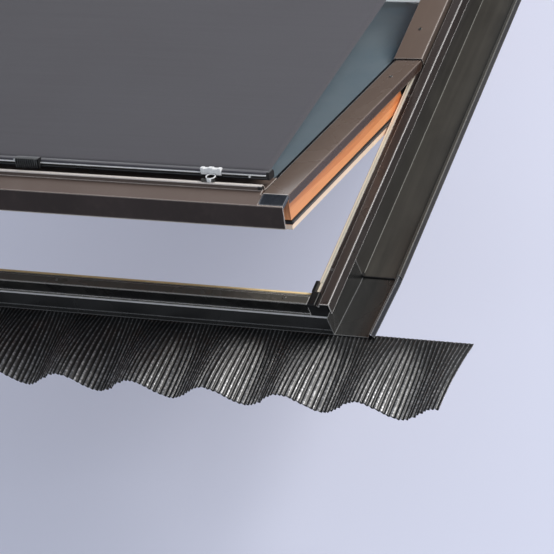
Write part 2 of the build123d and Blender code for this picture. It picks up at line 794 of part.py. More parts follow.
def head_flashing():
    far_y = CASING_BACK_Y + HEAD_FLASHING_DEPTH
    path = [
        (far_y + BEAD_WIDTH, GUTTER_FLOOR),
        (far_y + BEAD_WIDTH - BEAD_SLOPE, GUTTER_FLOOR + GUTTER_BEAD),
        (far_y + BEAD_SLOPE, GUTTER_FLOOR + GUTTER_BEAD),
        (far_y, GUTTER_FLOOR),
        (CASING_BACK_Y + GUTTER_SHEET, GUTTER_FLOOR),
        (CASING_BACK_Y + GUTTER_SHEET, GUTTER_TOP),
    ]
    return along_x(folded(path, GUTTER_SHEET, BEND), -GUTTER_OUTER_X, GUTTER_OUTER_X)


# Pleated apron: thin metal dressed into waves below the window

APRON_TOP_Z = FLASHING_FRONT_Z - GUTTER_SHEET
APRON_FALL = CORNER_RISE / (GUTTER_JOINT_Y - GUTTER_LAP - FLASHING_FRONT_Y)


def apron_height(x, y):
    """Height of the apron's top, which lies flat under the flashing and then takes up the waves."""
    if y > FLASHING_FRONT_Y:
        return APRON_TOP_Z - APRON_FALL * (y - FLASHING_FRONT_Y)
    share = (y - FLASHING_FRONT_Y) / (APRON_BOTTOM_Y - FLASHING_FRONT_Y)
    middle = (WAVE_CREST_Z + WAVE_TROUGH_Z) / 2
    half = (WAVE_CREST_Z - WAVE_TROUGH_Z) / 2
    wave = middle + half * cos(2 * pi * (x - WAVE_CREST_X) / WAVE_PITCH)
    return APRON_TOP_Z + (wave - APRON_TOP_Z) * (1 - (1 - share) ** 2)


def apron_section(y):
    """Section of the apron across the window, folded into pleats."""
    step = WAVE_PITCH / PLEATS_PER_WAVE / 2
    count = 2 * int(APRON_HALF / step)
    share = (FLASHING_FRONT_Y - y) / (FLASHING_FRONT_Y - APRON_BOTTOM_Y)
    depth = PLEAT_DEPTH * min(1, 0.4 + share)
    upper = []
    lower = []
    for i in range(count + 1):
        x = (i - count / 2) * step
        fold = depth if i % 2 else 0.0
        z = apron_height(x, y) - fold
        upper.append((x, y, z))
        lower.append((x, y, z - APRON_SHEET))
    return Face(Wire.make_polygon(lower + upper[::-1], close=True))


def apron():
    length = FLASHING_FRONT_Y - APRON_BOTTOM_Y
    stations = [FLASHING_FRONT_Y + APRON_TUCK]
    stations += [FLASHING_FRONT_Y - length * share for share in (0, 0.3, 0.62, 1)]
    return loft([apron_section(y) for y in stations], ruled=True)


# Brackets

def bracket_screw(y):
    """Screw that holds a bracket's leg to the frame, its shank in the timber."""
    tip = HALF_WIDTH - BRACKET_SCREW_LENGTH
    neck = HALF_WIDTH + BRACKET_THICK
    height = BRACKET_SCREW_Z
    shank = rod_x(BRACKET_SCREW_R, tip, neck, y, height)
    head = rod_x(BRACKET_SCREW_HEAD, neck, neck + BRACKET_SCREW_HEAD_HEIGHT, y, height)
    return shank + head


def bracket(y):
    outline = polygon(
        (HALF_WIDTH, 0),
        (HALF_WIDTH + BRACKET_REACH, 0),
        (HALF_WIDTH + BRACKET_REACH, BRACKET_THICK),
        (HALF_WIDTH + BRACKET_THICK, BRACKET_THICK),
        (HALF_WIDTH + BRACKET_THICK, BRACKET_LEG),
        (HALF_WIDTH, BRACKET_LEG),
    )
    angle = along_y(outline, y - BRACKET_WIDTH / 2, y + BRACKET_WIDTH / 2)
    inner_corner = Vector(HALF_WIDTH + BRACKET_THICK, y, BRACKET_THICK)
    bend = angle.edges().filter_by(Axis.Y).sort_by(lambda e: (e.center() - inner_corner).length)[0]
    angle = fillet(bend, BRACKET_THICK / 2)
    corners = angle.edges().filter_by(Axis.Z).group_by(Axis.X)[-1]
    angle = fillet(corners, BRACKET_ROUND)
    angle -= Pos(BRACKET_HOLE_X, y, 0) * Cylinder(BRACKET_HOLE_R, 4 * BRACKET_THICK)
    leg_end = HALF_WIDTH + 2 * BRACKET_THICK
    angle -= rod_x(BRACKET_SCREW_R, HALF_WIDTH - OVERRUN, leg_end, y, BRACKET_SCREW_Z)
    return angle


# Screw heads of the covers

def screw_head(x, y, z):
    head = Pos(x, y, z + SCREW_HEAD / 2) * Cylinder(SCREW_R, SCREW_HEAD)
    return fillet(head.edges().group_by(Axis.Z)[-1], SCREW_HEAD / 2)


def cover_screws():
    solids = []
    for side in (-1, 1):
        for y in (-SCREW_SIDE_Y, -SCREW_PIVOT_Y):
            solids.append(screw_head(side * SCREW_SIDE_X, y, FLOOR_Z))
        slope = (UPPER_TOP - UPPER_INNER_Z) / (UPPER_X - UPPER_INNER_X)
        height = UPPER_TOP - slope * (UPPER_X - SCREW_COVER_X - SCREW_R)
        for y in (SCREW_UPPER_Y, SCREW_SIDE_Y):
            solids.append(screw_head(side * SCREW_COVER_X, y, height))
    for x in (-SCREW_BOTTOM_X, 0, SCREW_BOTTOM_X):
        solids.append(screw_head(x, BOTTOM_ARRIS_Y + SCREW_BOTTOM_BACK, BOTTOM_ARRIS_Z))
    return group(solids)


def sash_cover_screws():
    slope = (SASH_COVER_N - SASH_COVER_INNER_N) / (SASH_COVER_X - SASH_COVER_INNER_X)
    height = PIVOT_Z + SASH_COVER_N - slope * (SASH_COVER_X - SCREW_COVER_X - SCREW_R)
    return group([screw_head(side * SCREW_COVER_X, -SCREW_COVER_Y, height) for side in (-1, 1)])


# Sash timbers, drawn shut

def sash_outline(outer):
    """Half outline of sash timber, from its outer face towards the glass, as (distance, z)."""
    inner = outer - SASH_TIMBER
    floor = outer - SEAL_GROOVE_DEPTH
    top = PIVOT_Z + SASH_TOP_N
    low = PIVOT_Z + SASH_BOTTOM_N
    return [
        (outer, low),
        (outer, PIVOT_Z + SEAL_GROOVE_LOW_N),
        (floor, PIVOT_Z + SEAL_GROOVE_LOW_N),
        (floor, PIVOT_Z + SEAL_GROOVE_HIGH_N),
        (outer, PIVOT_Z + SEAL_GROOVE_HIGH_N),
        (outer, top),
        (inner, top),
        (inner, low + SASH_BEVEL),
        (inner + SASH_BEVEL, low),
    ]


def rebate():
    """Space that the glass and its gasket fill."""
    return box(
        (-REBATE_X, REBATE_X),
        (-REBATE_Y, REBATE_Y),
        (PIVOT_Z + REBATE_N, PIVOT_Z + SASH_TOP_N + OVERRUN),
    )


def end_grooves():
    """Seal groove across the stiles' ends."""
    low = PIVOT_Z + SEAL_GROOVE_LOW_N
    high = PIVOT_Z + SEAL_GROOVE_HIGH_N
    outside = box((-SASH_X - 1, SASH_X + 1), (-SASH_Y - 1, SASH_Y + 1), (low, high))
    inner_x = SASH_X - SEAL_GROOVE_DEPTH
    inner_y = SASH_Y - SEAL_GROOVE_DEPTH
    return outside - box((-inner_x, inner_x), (-inner_y, inner_y), (low - 1, high + 1))


def sash_stile():
    stile = along_y(polygon(*sash_outline(SASH_X)), -SASH_Y, SASH_Y)
    stile -= rebate()
    stile -= end_grooves()
    stile -= hinge_plate(SASH_X - HINGE_PLATE, SASH_X + OVERRUN)
    return stile - rod_x(STUD_R + 1, SASH_X - 2 * STUD_IN_SASH, SASH_X, 0, PIVOT_Z)


def sash_rail(side):
    """Bottom rail for side -1, top rail for side 1, between the stiles."""
    half = SASH_X - SASH_TIMBER
    outline = polygon(*[(side * y, z) for y, z in sash_outline(SASH_Y)])
    return along_x(outline, -half, half) - rebate()


def sash_seal():
    low = PIVOT_Z + SEAL_GROOVE_LOW_N + SEAL_SLACK
    high = PIVOT_Z + SEAL_GROOVE_HIGH_N - SEAL_SLACK
    body_x = SASH_X - SEAL_GROOVE_DEPTH
    body_y = SASH_Y - SEAL_GROOVE_DEPTH
    strip = ring(SASH_X + SEAL_PROUD, SASH_Y + SEAL_PROUD, body_x, body_y, low, high)
    level = strip.edges().filter_by(lambda e: abs(e.tangent_at(0.5).Z) < 0.5)
    outer = [e for e in level if abs(e.center().X) > SASH_X or abs(e.center().Y) > SASH_Y]
    return fillet(outer, SEAL_PROUD - SEAL_SLACK / 2)


# Glass

GLASS_X = REBATE_X - GLASS_EDGE_GAP
GLASS_Y = REBATE_Y - GLASS_EDGE_GAP


def pane(low):
    return box((-GLASS_X, GLASS_X), (-GLASS_Y, GLASS_Y), (PIVOT_Z + low, PIVOT_Z + low + PANE))


def spacer_bar():
    inner_x = GLASS_X - SPACER_INSET - SPACER_WIDTH
    inner_y = GLASS_Y - SPACER_INSET - SPACER_WIDTH
    low = PIVOT_Z + REBATE_N + PANE
    return ring(GLASS_X, GLASS_Y, inner_x, inner_y, low, low + PANE_SPACE)


def glazing_gasket():
    low = PIVOT_Z + GLASS_N
    high = low + GASKET_HEIGHT
    inner_x = REBATE_X - GASKET_WIDTH
    inner_y = REBATE_Y - GASKET_WIDTH
    strip = ring(REBATE_X, REBATE_Y, inner_x, inner_y, low, high)
    edge = strip.edges().group_by(Axis.Z)[-1]
    edge = edge.filter_by(lambda e: abs(e.center().X) < inner_x + 1 and abs(e.center().Y) < inner_y + 1)
    return chamfer(edge, GASKET_CHAMFER)


# Sash covers, drawn shut

SASH_TOP_Z = PIVOT_Z + SASH_COVER_N
GASKET_TOP_Z = PIVOT_Z + GLASS_N + GASKET_HEIGHT


def sash_side_cover():
    inner_z = PIVOT_Z + SASH_COVER_INNER_N
    path = [
        (SASH_COVER_X, SASH_TOP_Z - SASH_SKIRT),
        (SASH_COVER_X, SASH_TOP_Z),
        (SASH_COVER_INNER_X, inner_z),
        (SASH_COVER_INNER_X - SASH_LIP_REACH, GASKET_TOP_Z + SHEET / 2),
    ]
    cover = along_y(folded(path, SHEET, BEND), -SASH_COVER_END, SASH_COVER_HEAD)
    low = SASH_TOP_Z - SASH_SKIRT - OVERRUN
    head_cut = polygon(
        (HEAD_CUT_START, low),
        (SASH_COVER_HEAD + OVERRUN, SASH_TOP_Z - SHEET),
        (SASH_COVER_HEAD + OVERRUN, low),
    )
    cover -= along_x(head_cut, SASH_COVER_X - 2 * SHEET, SASH_COVER_X + OVERRUN)
    lip_x = (SASH_COVER_INNER_X - 2 * SASH_LIP_REACH, SASH_COVER_INNER_X + SASH_LIP_REACH)
    low_end = box(lip_x, (-SASH_COVER_END - OVERRUN, -REBATE_Y), (FLOOR_Z, PIVOT_Z + SASH_TOP_N))
    return cover - low_end


def sash_bottom_cover():
    lip_z = PIVOT_Z + LIP_N
    flat_z = PIVOT_Z + SASH_COVER_INNER_N
    arris_z = PIVOT_Z + SASH_FASCIA_N
    low_y = -SASH_FASCIA_Y - SASH_FASCIA_RAKE
    path = [
        (-REBATE_Y + GASKET_WIDTH / 2, GASKET_TOP_Z + SHEET),
        (-REBATE_Y + GASKET_WIDTH / 2 - LIP_SLOPE, flat_z),
        (-LIP_INNER + LIP_SLOPE, flat_z),
        (-LIP_INNER, lip_z),
        (-LIP_OUTER + LIP_SLOPE, lip_z),
        (-LIP_OUTER, SASH_TOP_Z),
        (-SASH_FASCIA_Y, arris_z),
        (low_y, arris_z - SASH_FASCIA),
        (low_y + SASH_HEM, arris_z - SASH_FASCIA - SASH_FASCIA_RAKE),
    ]
    cover = along_x(folded(path, SHEET, BEND), -SASH_COVER_X, SASH_COVER_X)
    outside = SASH_COVER_X + OVERRUN
    heights = (arris_z - 2 * SHEET, lip_z + OVERRUN)
    for side in (-1, 1):
        cap_space = box(
            (side * CAP_INNER_X, side * outside),
            (-SASH_FASCIA_Y + SHEET + CAP_WALL, -SASH_COVER_END - RUNNING_GAP),
            heights,
        )
        cover_space = box(
            (side * LIP_END_X, side * outside),
            (-SASH_COVER_END - RUNNING_GAP, -LIP_INNER),
            heights,
        )
        lip_space = box((side * LIP_END_X, side * outside), (-LIP_OUTER + 1, 0), heights)
        cover = cover - cap_space - cover_space - lip_space
    lip_end = polygon(
        (-LIP_INNER + LIP_SLOPE, flat_z - SHEET / 2),
        (-LIP_INNER - SHEET / 2, lip_z - SHEET / 2),
        (-LIP_OUTER + LIP_SLOPE, lip_z - SHEET / 2),
        (-LIP_OUTER + SHEET / 2, SASH_TOP_Z - SHEET / 2),
    )
    cover += along_x(lip_end, LIP_END_X - SHEET, LIP_END_X)
    return cover + along_x(lip_end, -LIP_END_X, -LIP_END_X + SHEET)


def corner_cap():
    """Moulded cap that joins the side cover to the bottom cover."""
    top = SASH_TOP_Z
    arris_z = PIVOT_Z + SASH_FASCIA_N
    outline = polygon(
        (-SASH_COVER_END, top),
        (-SASH_COVER_END, top - SASH_SKIRT / 2),
        (-SASH_COVER_END - BOTTOM_COVER_OVERHANG, top - SASH_SKIRT),
        (-SASH_FASCIA_Y + SHEET + CAP_WALL, top - SASH_SKIRT),
        (-SASH_FASCIA_Y + SHEET + CAP_WALL, arris_z + CAP_WALL),
        (-SASH_COVER_END - CAP_NOSE, top),
    )
    cap = along_x(outline, CAP_INNER_X, SASH_COVER_X)
    inner_corner = cap.edges().filter_by(Axis.X, reverse=True).group_by(Axis.X)[0]
    top_edge = inner_corner.sort_by(Axis.Z)[-2:]
    cap = fillet(top_edge, CAP_ROUND)
    hollow = box(
        (CAP_INNER_X + CAP_SHELL, SASH_COVER_X - CAP_SHELL),
        (-SASH_FASCIA_Y + SHEET + CAP_WALL + CAP_SHELL, -SASH_COVER_END + OVERRUN),
        (top - SASH_SKIRT - OVERRUN, arris_z),
    )
    return cap - hollow


# Awning bar, clips, keepers and grip, drawn shut

BAR_TOP = PIVOT_Z + BAR_N + WELT_R + BAR_WALL
BAR_BACK = -BAR_Y + BAR_LEAD
BAR_FRONT = BAR_BACK - BAR_DEPTH
BAR_LOW = BAR_TOP - BAR_HEIGHT


def awning_bar():
    """Hollow bar; the welt of the fabric's edge sits in a round channel behind the bar's top lip."""
    outline = polygon(
        (BAR_FRONT, BAR_LOW),
        (BAR_FRONT, BAR_TOP),
        (BAR_BACK, BAR_TOP),
        (BAR_BACK, BAR_LOW),
    )
    bar = along_x(outline, -FABRIC_HALF, FABRIC_HALF)
    bar = fillet(bar.edges().filter_by(Axis.X), BAR_CORNER)
    channel_y = -BAR_Y
    channel_z = PIVOT_Z + BAR_N
    end = FABRIC_HALF + OVERRUN
    mouth = polygon(
        (channel_y, channel_z - FABRIC),
        (BAR_BACK + OVERRUN, channel_z - 2 * FABRIC),
        (BAR_BACK + OVERRUN, BAR_TOP + OVERRUN),
        (channel_y + 2 * WELT_R, BAR_TOP + OVERRUN),
        (channel_y + WELT_R, channel_z + 2 * FABRIC),
        (channel_y, channel_z + FABRIC),
    )
    hollow = box(
        (-end, end),
        (BAR_FRONT + BAR_WALL, BAR_BACK - BAR_WALL),
        (BAR_LOW + BAR_WALL, channel_z - WELT_R - BAR_WALL),
    )
    bar -= rod_x(WELT_R + WELT_CLEARANCE, -end, end, channel_y, channel_z)
    return bar - along_x(mouth, -end, end) - hollow


def bar_cap():
    outline = polygon(
        (BAR_FRONT, BAR_LOW),
        (BAR_FRONT, BAR_TOP),
        (BAR_BACK, BAR_TOP),
        (BAR_BACK, BAR_LOW),
    )
    cap = along_x(outline, FABRIC_HALF, FABRIC_HALF + BAR_CAP)
    return fillet(cap.edges().filter_by(Axis.X), BAR_CORNER)


KEEPER_Y = -(LIP_OUTER + LIP_INNER) / 2
KEEPER_Z = PIVOT_Z + LIP_N + KEEPER_RISE


def clip(x):
    """Snap clip over the bar's front edge, with a narrower hook round the keeper's pin."""
    front = BAR_FRONT
    low_z = BAR_TOP - CLIP_HEIGHT
    body = polygon(
        (front + CLIP_HOOD, BAR_TOP),
        (front, BAR_TOP),
        (front, low_z),
        (front - CLIP_WALL, low_z),
        (front - CLIP_WALL, BAR_TOP),
        (front, BAR_TOP + CLIP_WALL),
        (front + CLIP_HOOD, BAR_TOP + CLIP_WALL),
    )
    hook = polygon(
        (front, BAR_TOP - BAR_CORNER),
        (front - CLIP_WALL, BAR_TOP - BAR_CORNER),
        (KEEPER_Y, KEEPER_Z + KEEPER_PIN_R + CLIP_WALL),
        (KEEPER_Y - KEEPER_PIN_R - CLIP_WALL, KEEPER_Z + KEEPER_PIN_R),
        (KEEPER_Y - KEEPER_PIN_R - CLIP_WALL, KEEPER_Z - KEEPER_PIN_R),
        (KEEPER_Y - KEEPER_PIN_R - RUNNING_GAP, KEEPER_Z - KEEPER_PIN_R),
        (KEEPER_Y - KEEPER_PIN_R - RUNNING_GAP, KEEPER_Z + KEEPER_PIN_R + RUNNING_GAP),
        (front, KEEPER_Z + KEEPER_PIN_R + RUNNING_GAP),
    )
    body = along_x(body, x - CLIP_WIDTH / 2, x + CLIP_WIDTH / 2)
    return body + along_x(hook, x - CLIP_HOOK / 2, x + CLIP_HOOK / 2)


def keeper(x):
    """Pin on two small posts that stand on the bottom cover's lip."""
    half = CLIP_HOOK / 2 + KEEPER_POST + RUNNING_GAP
    pin = rod_x(KEEPER_PIN_R, x - half, x + half, KEEPER_Y, KEEPER_Z)
    for side in (-1, 1):
        post = box(
            (x + side * half, x + side * (half - KEEPER_POST)),
            (KEEPER_Y - KEEPER_PIN_R, KEEPER_Y + KEEPER_PIN_R),
            (PIVOT_Z + LIP_N, KEEPER_Z + KEEPER_PIN_R),
        )
        pin += post
    return pin


def centre_grip():
    """Ribbed pull in the middle of the bar."""
    half = GRIP_WIDTH / 2
    low_z = PIVOT_Z + LIP_N + OVERRUN
    high_z = BAR_TOP + GRIP_SHELL
    face = BAR_FRONT - GRIP_DEPTH
    grip = box((-half, half), (face, BAR_FRONT), (low_z, high_z))
    grip += box((-half, half), (BAR_FRONT, BAR_FRONT + GRIP_HOOD), (BAR_TOP, high_z))
    pitch = GRIP_WIDTH / GRIP_RIBS
    for i in range(GRIP_RIBS):
        x = -half + (i + 0.5) * pitch
        rib = box((x - pitch / 4, x + pitch / 4), (face - GRIP_SHELL, face), (low_z, BAR_TOP))
        grip += rib
    return grip


# Operating parts, drawn shut

def control_bracket(x):
    """Ear under the top rail that carries the control bar's pin."""
    ear = box(
        (x, x + EAR),
        (CONTROL_Y - EAR_HALF, CONTROL_Y + EAR_HALF),
        (PIVOT_Z + CONTROL_N - EAR_BELOW, PIVOT_Z + SASH_BOTTOM_N),
    )
    bore_r = CONTROL_PIN_R + BORE_CLEARANCE
    bore = rod_x(bore_r, x - OVERRUN, x + EAR + OVERRUN, CONTROL_Y, PIVOT_Z + CONTROL_N)
    return ear - bore


def control_brackets():
    gap = CONTROL_ARM_WIDTH / 2 + RUNNING_GAP
    places = []
    for side in (-1, 1):
        places.append(side * CONTROL_ARM_X - gap - EAR)
        places.append(side * CONTROL_ARM_X + gap)
    return group([control_bracket(x) for x in places])


def control_bar():
    """Grip bar on two arms; drawn swung down, as it is while the sash stands open."""
    lean = CONTROL_LATCHED + CONTROL_SWING
    reach = radians(180 + lean)
    pin_z = PIVOT_Z + CONTROL_N
    grip_y = CONTROL_Y + CONTROL_ARM * cos(reach)
    grip_z = pin_z + CONTROL_ARM * sin(reach)
    outline = Pos(grip_y, grip_z) * Rot(0, 0, lean) * SlotOverall(CONTROL_GRIP_DEPTH, CONTROL_GRIP_HEIGHT)
    bar = along_x(outline, -CONTROL_HALF, CONTROL_HALF)
    middle = Pos((CONTROL_Y + grip_y) / 2, (pin_z + grip_z) / 2)
    arm = middle * Rot(0, 0, lean) * SlotOverall(CONTROL_ARM + CONTROL_ARM_HEIGHT, CONTROL_ARM_HEIGHT)
    for side in (-1, 1):
        x = side * CONTROL_ARM_X
        half = CONTROL_ARM_WIDTH / 2
        pin_half = half + CONTROL_PIN_END
        bar += along_x(arm, x - half, x + half)
        bar += rod_x(CONTROL_PIN_R, x - pin_half, x + pin_half, CONTROL_Y, pin_z)
    return bar


def vent_flap():
    """Flap over the filter slot of the top rail, hinged at its lower edge, drawn open."""
    height = PIVOT_Z + FLAP_N
    plate = box(
        (-FLAP_HALF, FLAP_HALF),
        (FLAP_Y, FLAP_Y + FLAP_LENGTH),
        (height - FLAP_SHEET / 2, height + FLAP_SHEET / 2),
    )
    plate += rod_x(FLAP_SHEET / 2, -FLAP_HALF, FLAP_HALF, FLAP_Y, height)
    room = FLAP_HINGE_HALF + RUNNING_GAP
    for x in (-FLAP_HINGE_X, 0, FLAP_HINGE_X):
        plate -= box(
            (x - room, x + room),
            (FLAP_Y - FLAP_SHEET, FLAP_Y + 2 * FLAP_SHEET),
            (height - FLAP_SHEET, height + FLAP_SHEET),
        )
        plate += rod_x(FLAP_PIN_R, x - 2 * room, x + 2 * room, FLAP_Y, height)
    hinge_line = Axis((0, FLAP_Y, height), (1, 0, 0))
    return plate.rotate(hinge_line, FLAP_OPEN)


def flap_hinges():
    """Small blocks on the top rail that hold the flap's pin."""
    height = PIVOT_Z + FLAP_N
    blocks = []
    for x in (-FLAP_HINGE_X, 0, FLAP_HINGE_X):
        block = box(
            (x - FLAP_HINGE_HALF, x + FLAP_HINGE_HALF),
            (FLAP_Y - FLAP_SHEET, FLAP_Y + FLAP_SHEET),
            (PIVOT_Z + SASH_TOP_N, height + FLAP_SHEET),
        )
        reach = 2 * FLAP_HINGE_HALF
        bore = rod_x(FLAP_PIN_R + BORE_CLEARANCE, x - reach, x + reach, FLAP_Y, height)
        blocks.append(block - bore)
    return group(blocks)


def filter_slot():
    """Shallow slot in the top rail under the flap."""
    low_y = FLAP_Y + FILTER_SLOT_START
    top = PIVOT_Z + SASH_TOP_N
    half = FLAP_HALF - FILTER_SLOT_END
    return box((-half, half), (low_y, low_y + FILTER_SLOT_WIDTH), (top - FILTER_SLOT_DEPTH, top + OVERRUN))


# The sheet of fabric, from a welt in the bar's channel to the casing's mouth and on inside

def awning_fabric():
    turn = radians(OPEN_ANGLE)
    bar_y = -BAR_Y * cos(turn) + BAR_N * sin(turn)
    bar_z = PIVOT_Z + BAR_Y * sin(turn) + BAR_N * cos(turn)
    run = sqrt((MOUTH_Y - bar_y) ** 2 + (MOUTH_Z - bar_z) ** 2)
    slope = degrees(atan2(MOUTH_Z - bar_z, MOUTH_Y - bar_y))
    sheet = box(
        (-FABRIC_HALF, FABRIC_HALF),
        (0, run + FABRIC_TAIL),
        (-FABRIC / 2, FABRIC / 2),
    )
    sheet += rod_x(WELT_R, -FABRIC_HALF, FABRIC_HALF, 0, 0)
    return Pos(0, bar_y, bar_z) * Rot(slope, 0, 0) * sheet


# Assembly

both_sides("frame_timber", frame_side())
parts["bottom_frame_timber"] = frame_bottom()
parts["top_frame_timber"] = frame_head()
both_sides("frame_cover", frame_side_cover())
parts["bottom_frame_cover"] = frame_bottom_cover()
both_sides("corner_seal", corner_seal())
both_sides("upper_cover", upper_cover())
parts["top_casing"] = casing()
both_sides("casing_end", casing_end())
parts["guide_rod"] = guide_rod()
both_sides("side_gutter", side_gutter())
parts["bottom_flashing"] = bottom_flashing()
parts["head_flashing"] = head_flashing()
parts["pleated_apron"] = apron()
both_sides("lower_bracket", bracket(-BRACKET_Y))
both_sides("upper_bracket", bracket(BRACKET_Y))
bracket_screws = [bracket_screw(y) for y in (-BRACKET_Y, BRACKET_Y)]
parts["bracket_screws"] = group(bracket_screws + [flip(screw) for screw in bracket_screws])
parts["frame_cover_screws"] = cover_screws()
both_sides("frame_hinge", frame_hinge())
parts["strike_plate"] = strike_plate()
parts["roller_tube"] = roller_tube()
parts["wound_fabric"] = wound_fabric()
parts["awning_fabric"] = awning_fabric()

stile = sash_stile()
side_cover = sash_side_cover()
cap = corner_cap()
end_cap = bar_cap()
sash_parts = {
    "right_stile": stile,
    "left_stile": flip(stile),
    "bottom_rail": sash_rail(-1),
    "top_rail": sash_rail(1) - latch_pocket() - filter_slot(),
    "outer_pane": pane(REBATE_N + PANE + PANE_SPACE),
    "inner_pane": pane(REBATE_N),
    "spacer_bar": spacer_bar(),
    "glazing_gasket": glazing_gasket(),
    "sash_seal": sash_seal(),
    "right_sash_cover": side_cover,
    "left_sash_cover": flip(side_cover),
    "bottom_sash_cover": sash_bottom_cover(),
    "right_corner_cap": cap,
    "left_corner_cap": flip(cap),
    "right_sash_hinge": sash_hinge(),
    "left_sash_hinge": flip(sash_hinge()),
    "sash_cover_screws": sash_cover_screws(),
    "awning_bar": awning_bar(),
    "bar_end_caps": group([end_cap, flip(end_cap)]),
    "right_awning_clip": clip(CLIP_X),
    "left_awning_clip": clip(-CLIP_X),
    "clip_keepers": group([keeper(-CLIP_X), keeper(CLIP_X)]),
    "centre_grip": centre_grip(),
    "control_brackets": control_brackets(),
    "control_bar": control_bar(),
    "flap_hinges": flap_hinges(),
    "vent_flap": vent_flap(),
    "latch_bolt": latch_bolt(),
}
for name, piece in sash_parts.items():
    parts[name] = opened(piece)

os.makedirs("parts", exist_ok=True)
for name, piece in parts.items():
    export_step(piece, f"parts/{name}.step")
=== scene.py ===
from math import cos, pi, radians, sin

import bpy
from mathutils import Matrix, Vector


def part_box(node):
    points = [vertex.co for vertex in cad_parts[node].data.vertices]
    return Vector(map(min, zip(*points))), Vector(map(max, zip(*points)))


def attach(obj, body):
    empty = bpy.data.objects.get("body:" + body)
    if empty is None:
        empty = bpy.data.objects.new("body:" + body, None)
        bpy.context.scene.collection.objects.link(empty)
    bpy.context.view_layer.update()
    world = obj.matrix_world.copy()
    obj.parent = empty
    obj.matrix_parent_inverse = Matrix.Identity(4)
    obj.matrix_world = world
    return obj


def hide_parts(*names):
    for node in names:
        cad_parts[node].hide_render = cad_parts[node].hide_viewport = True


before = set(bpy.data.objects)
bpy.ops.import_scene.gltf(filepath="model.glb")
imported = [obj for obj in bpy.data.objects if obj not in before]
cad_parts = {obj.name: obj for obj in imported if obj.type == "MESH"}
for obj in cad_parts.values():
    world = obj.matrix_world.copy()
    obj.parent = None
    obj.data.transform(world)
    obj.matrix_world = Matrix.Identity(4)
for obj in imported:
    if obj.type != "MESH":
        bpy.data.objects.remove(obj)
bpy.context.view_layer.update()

# Camera. A long lens beside and above the lower right corner of the window, looking down on it as
# somebody would from a ladder set to the right of it.
CAMERA_PLACE = (3.07262, -3.79881, 4.10646)
LOOKS_ALONG = (-0.45151, 0.56147, -0.69346)
UP_IN_PICTURE = (-0.06754, 0.75346, 0.65402)
LENS_LENGTH = 205.94
SENSOR_WIDTH = 36.0
forward = Vector(LOOKS_ALONG).normalized()
right = forward.cross(Vector(UP_IN_PICTURE)).normalized()
turn = Matrix((right, right.cross(forward), -forward)).transposed()
lens = bpy.data.cameras.new("camera")
lens.lens = LENS_LENGTH
lens.sensor_width = SENSOR_WIDTH
camera = bpy.data.objects.new("camera", lens)
camera.matrix_world = Matrix.Translation(CAMERA_PLACE) @ turn.to_4x4()
bpy.context.scene.collection.objects.link(camera)
bpy.context.scene.camera = camera
bpy.context.scene.view_settings.view_transform = "Standard"

# Studio light. A large soft lamp high on the right, a broad low one behind the window that the tops of
# the covers and the glass mirror, a weak one low in front for the bent edges, and an even sky.


def colour(red, green, blue):
    """Colour of a swatch given as screen values from 0 to 255."""
    levels = [value / 255 for value in (red, green, blue)]
    return [v / 12.92 if v <= 0.04045 else ((v + 0.055) / 1.055) ** 2.4 for v in levels] + [1.0]


def soft_lamp(name, direction, distance, power, size, tint):
    """Square lamp in the given direction from the window's middle, facing it."""
    data = bpy.data.lights.new(name, "AREA")
    data.energy = power
    data.size = size
    data.color = tint
    lamp = bpy.data.objects.new(name, data)
    towards = Vector(direction).normalized()
    lamp.matrix_world = towards.to_track_quat("Z", "Y").to_matrix().to_4x4()
    lamp.location = towards * distance
    bpy.context.scene.collection.objects.link(lamp)


WARM = (1.0, 0.97, 0.93)
HORIZON_BLUE = (0.93, 0.96, 1.0)
EDGE_BLUE = (0.94, 0.97, 1.0)
SKY_BLUE = (0.86, 0.91, 1.0, 1.0)
SKY_STRENGTH = 0.32
soft_lamp("key lamp", (0.80, 0.42, 0.62), distance=5.0, power=215.0, size=2.2, tint=WARM)
soft_lamp("horizon lamp", (-0.45, 0.886, 0.26), distance=6.0, power=75.0, size=4.0, tint=HORIZON_BLUE)
soft_lamp("edge lamp", (0.30, -0.86, 0.36), distance=5.0, power=42.0, size=2.0, tint=EDGE_BLUE)
sky = bpy.data.worlds.new("sky")
sky.use_nodes = True
sky.node_tree.nodes["Background"].inputs["Color"].default_value = SKY_BLUE
sky.node_tree.nodes["Background"].inputs["Strength"].default_value = SKY_STRENGTH
bpy.context.scene.world = sky

# Floor, plain and pale, a little below the lowest point of the open sash. It is clear from below, so
# that the window can be looked at from inside too, and it glows a little to the camera.


def add_node(tree, kind, **values):
    """Shader node with some of its sockets set by name."""
    made = tree.nodes.new("ShaderNode" + kind)
    for label, value in values.items():
        made.inputs[label.replace("_", " ")].default_value = value
    return made


def math_node(tree, operation, *values):
    """Math node whose inputs are sockets or fixed values."""
    made = tree.nodes.new("ShaderNodeMath")
    made.operation = operation
    for socket, value in zip(made.inputs, values):
        if isinstance(value, bpy.types.NodeSocket):
            tree.links.new(value, socket)
        else:
            socket.default_value = value
    return made.outputs[0]


def new_material(name):
    """Material with its node tree and its shader."""
    material = bpy.data.materials.new(name)
    material.use_nodes = True
    return material, material.node_tree, material.node_tree.nodes["Principled BSDF"]


def mixed(tree, share, first, second, kind="MIX"):
    """Colour between two colours; each may be a socket or a fixed value."""
    made = tree.nodes.new("ShaderNodeMix")
    made.data_type = "RGBA"
    made.blend_type = kind
    for socket, value in ((made.inputs[0], share), (made.inputs[6], first), (made.inputs[7], second)):
        if isinstance(value, bpy.types.NodeSocket):
            tree.links.new(value, socket)
        else:
            socket.default_value = value
    return made.outputs[2]


def spread(tree, value, low, high, to_low, to_high):
    """Value stretched from one range to another."""
    made = add_node(tree, "MapRange", From_Min=low, From_Max=high, To_Min=to_low, To_Max=to_high)
    tree.links.new(value, made.inputs["Value"])
    return made.outputs["Result"]


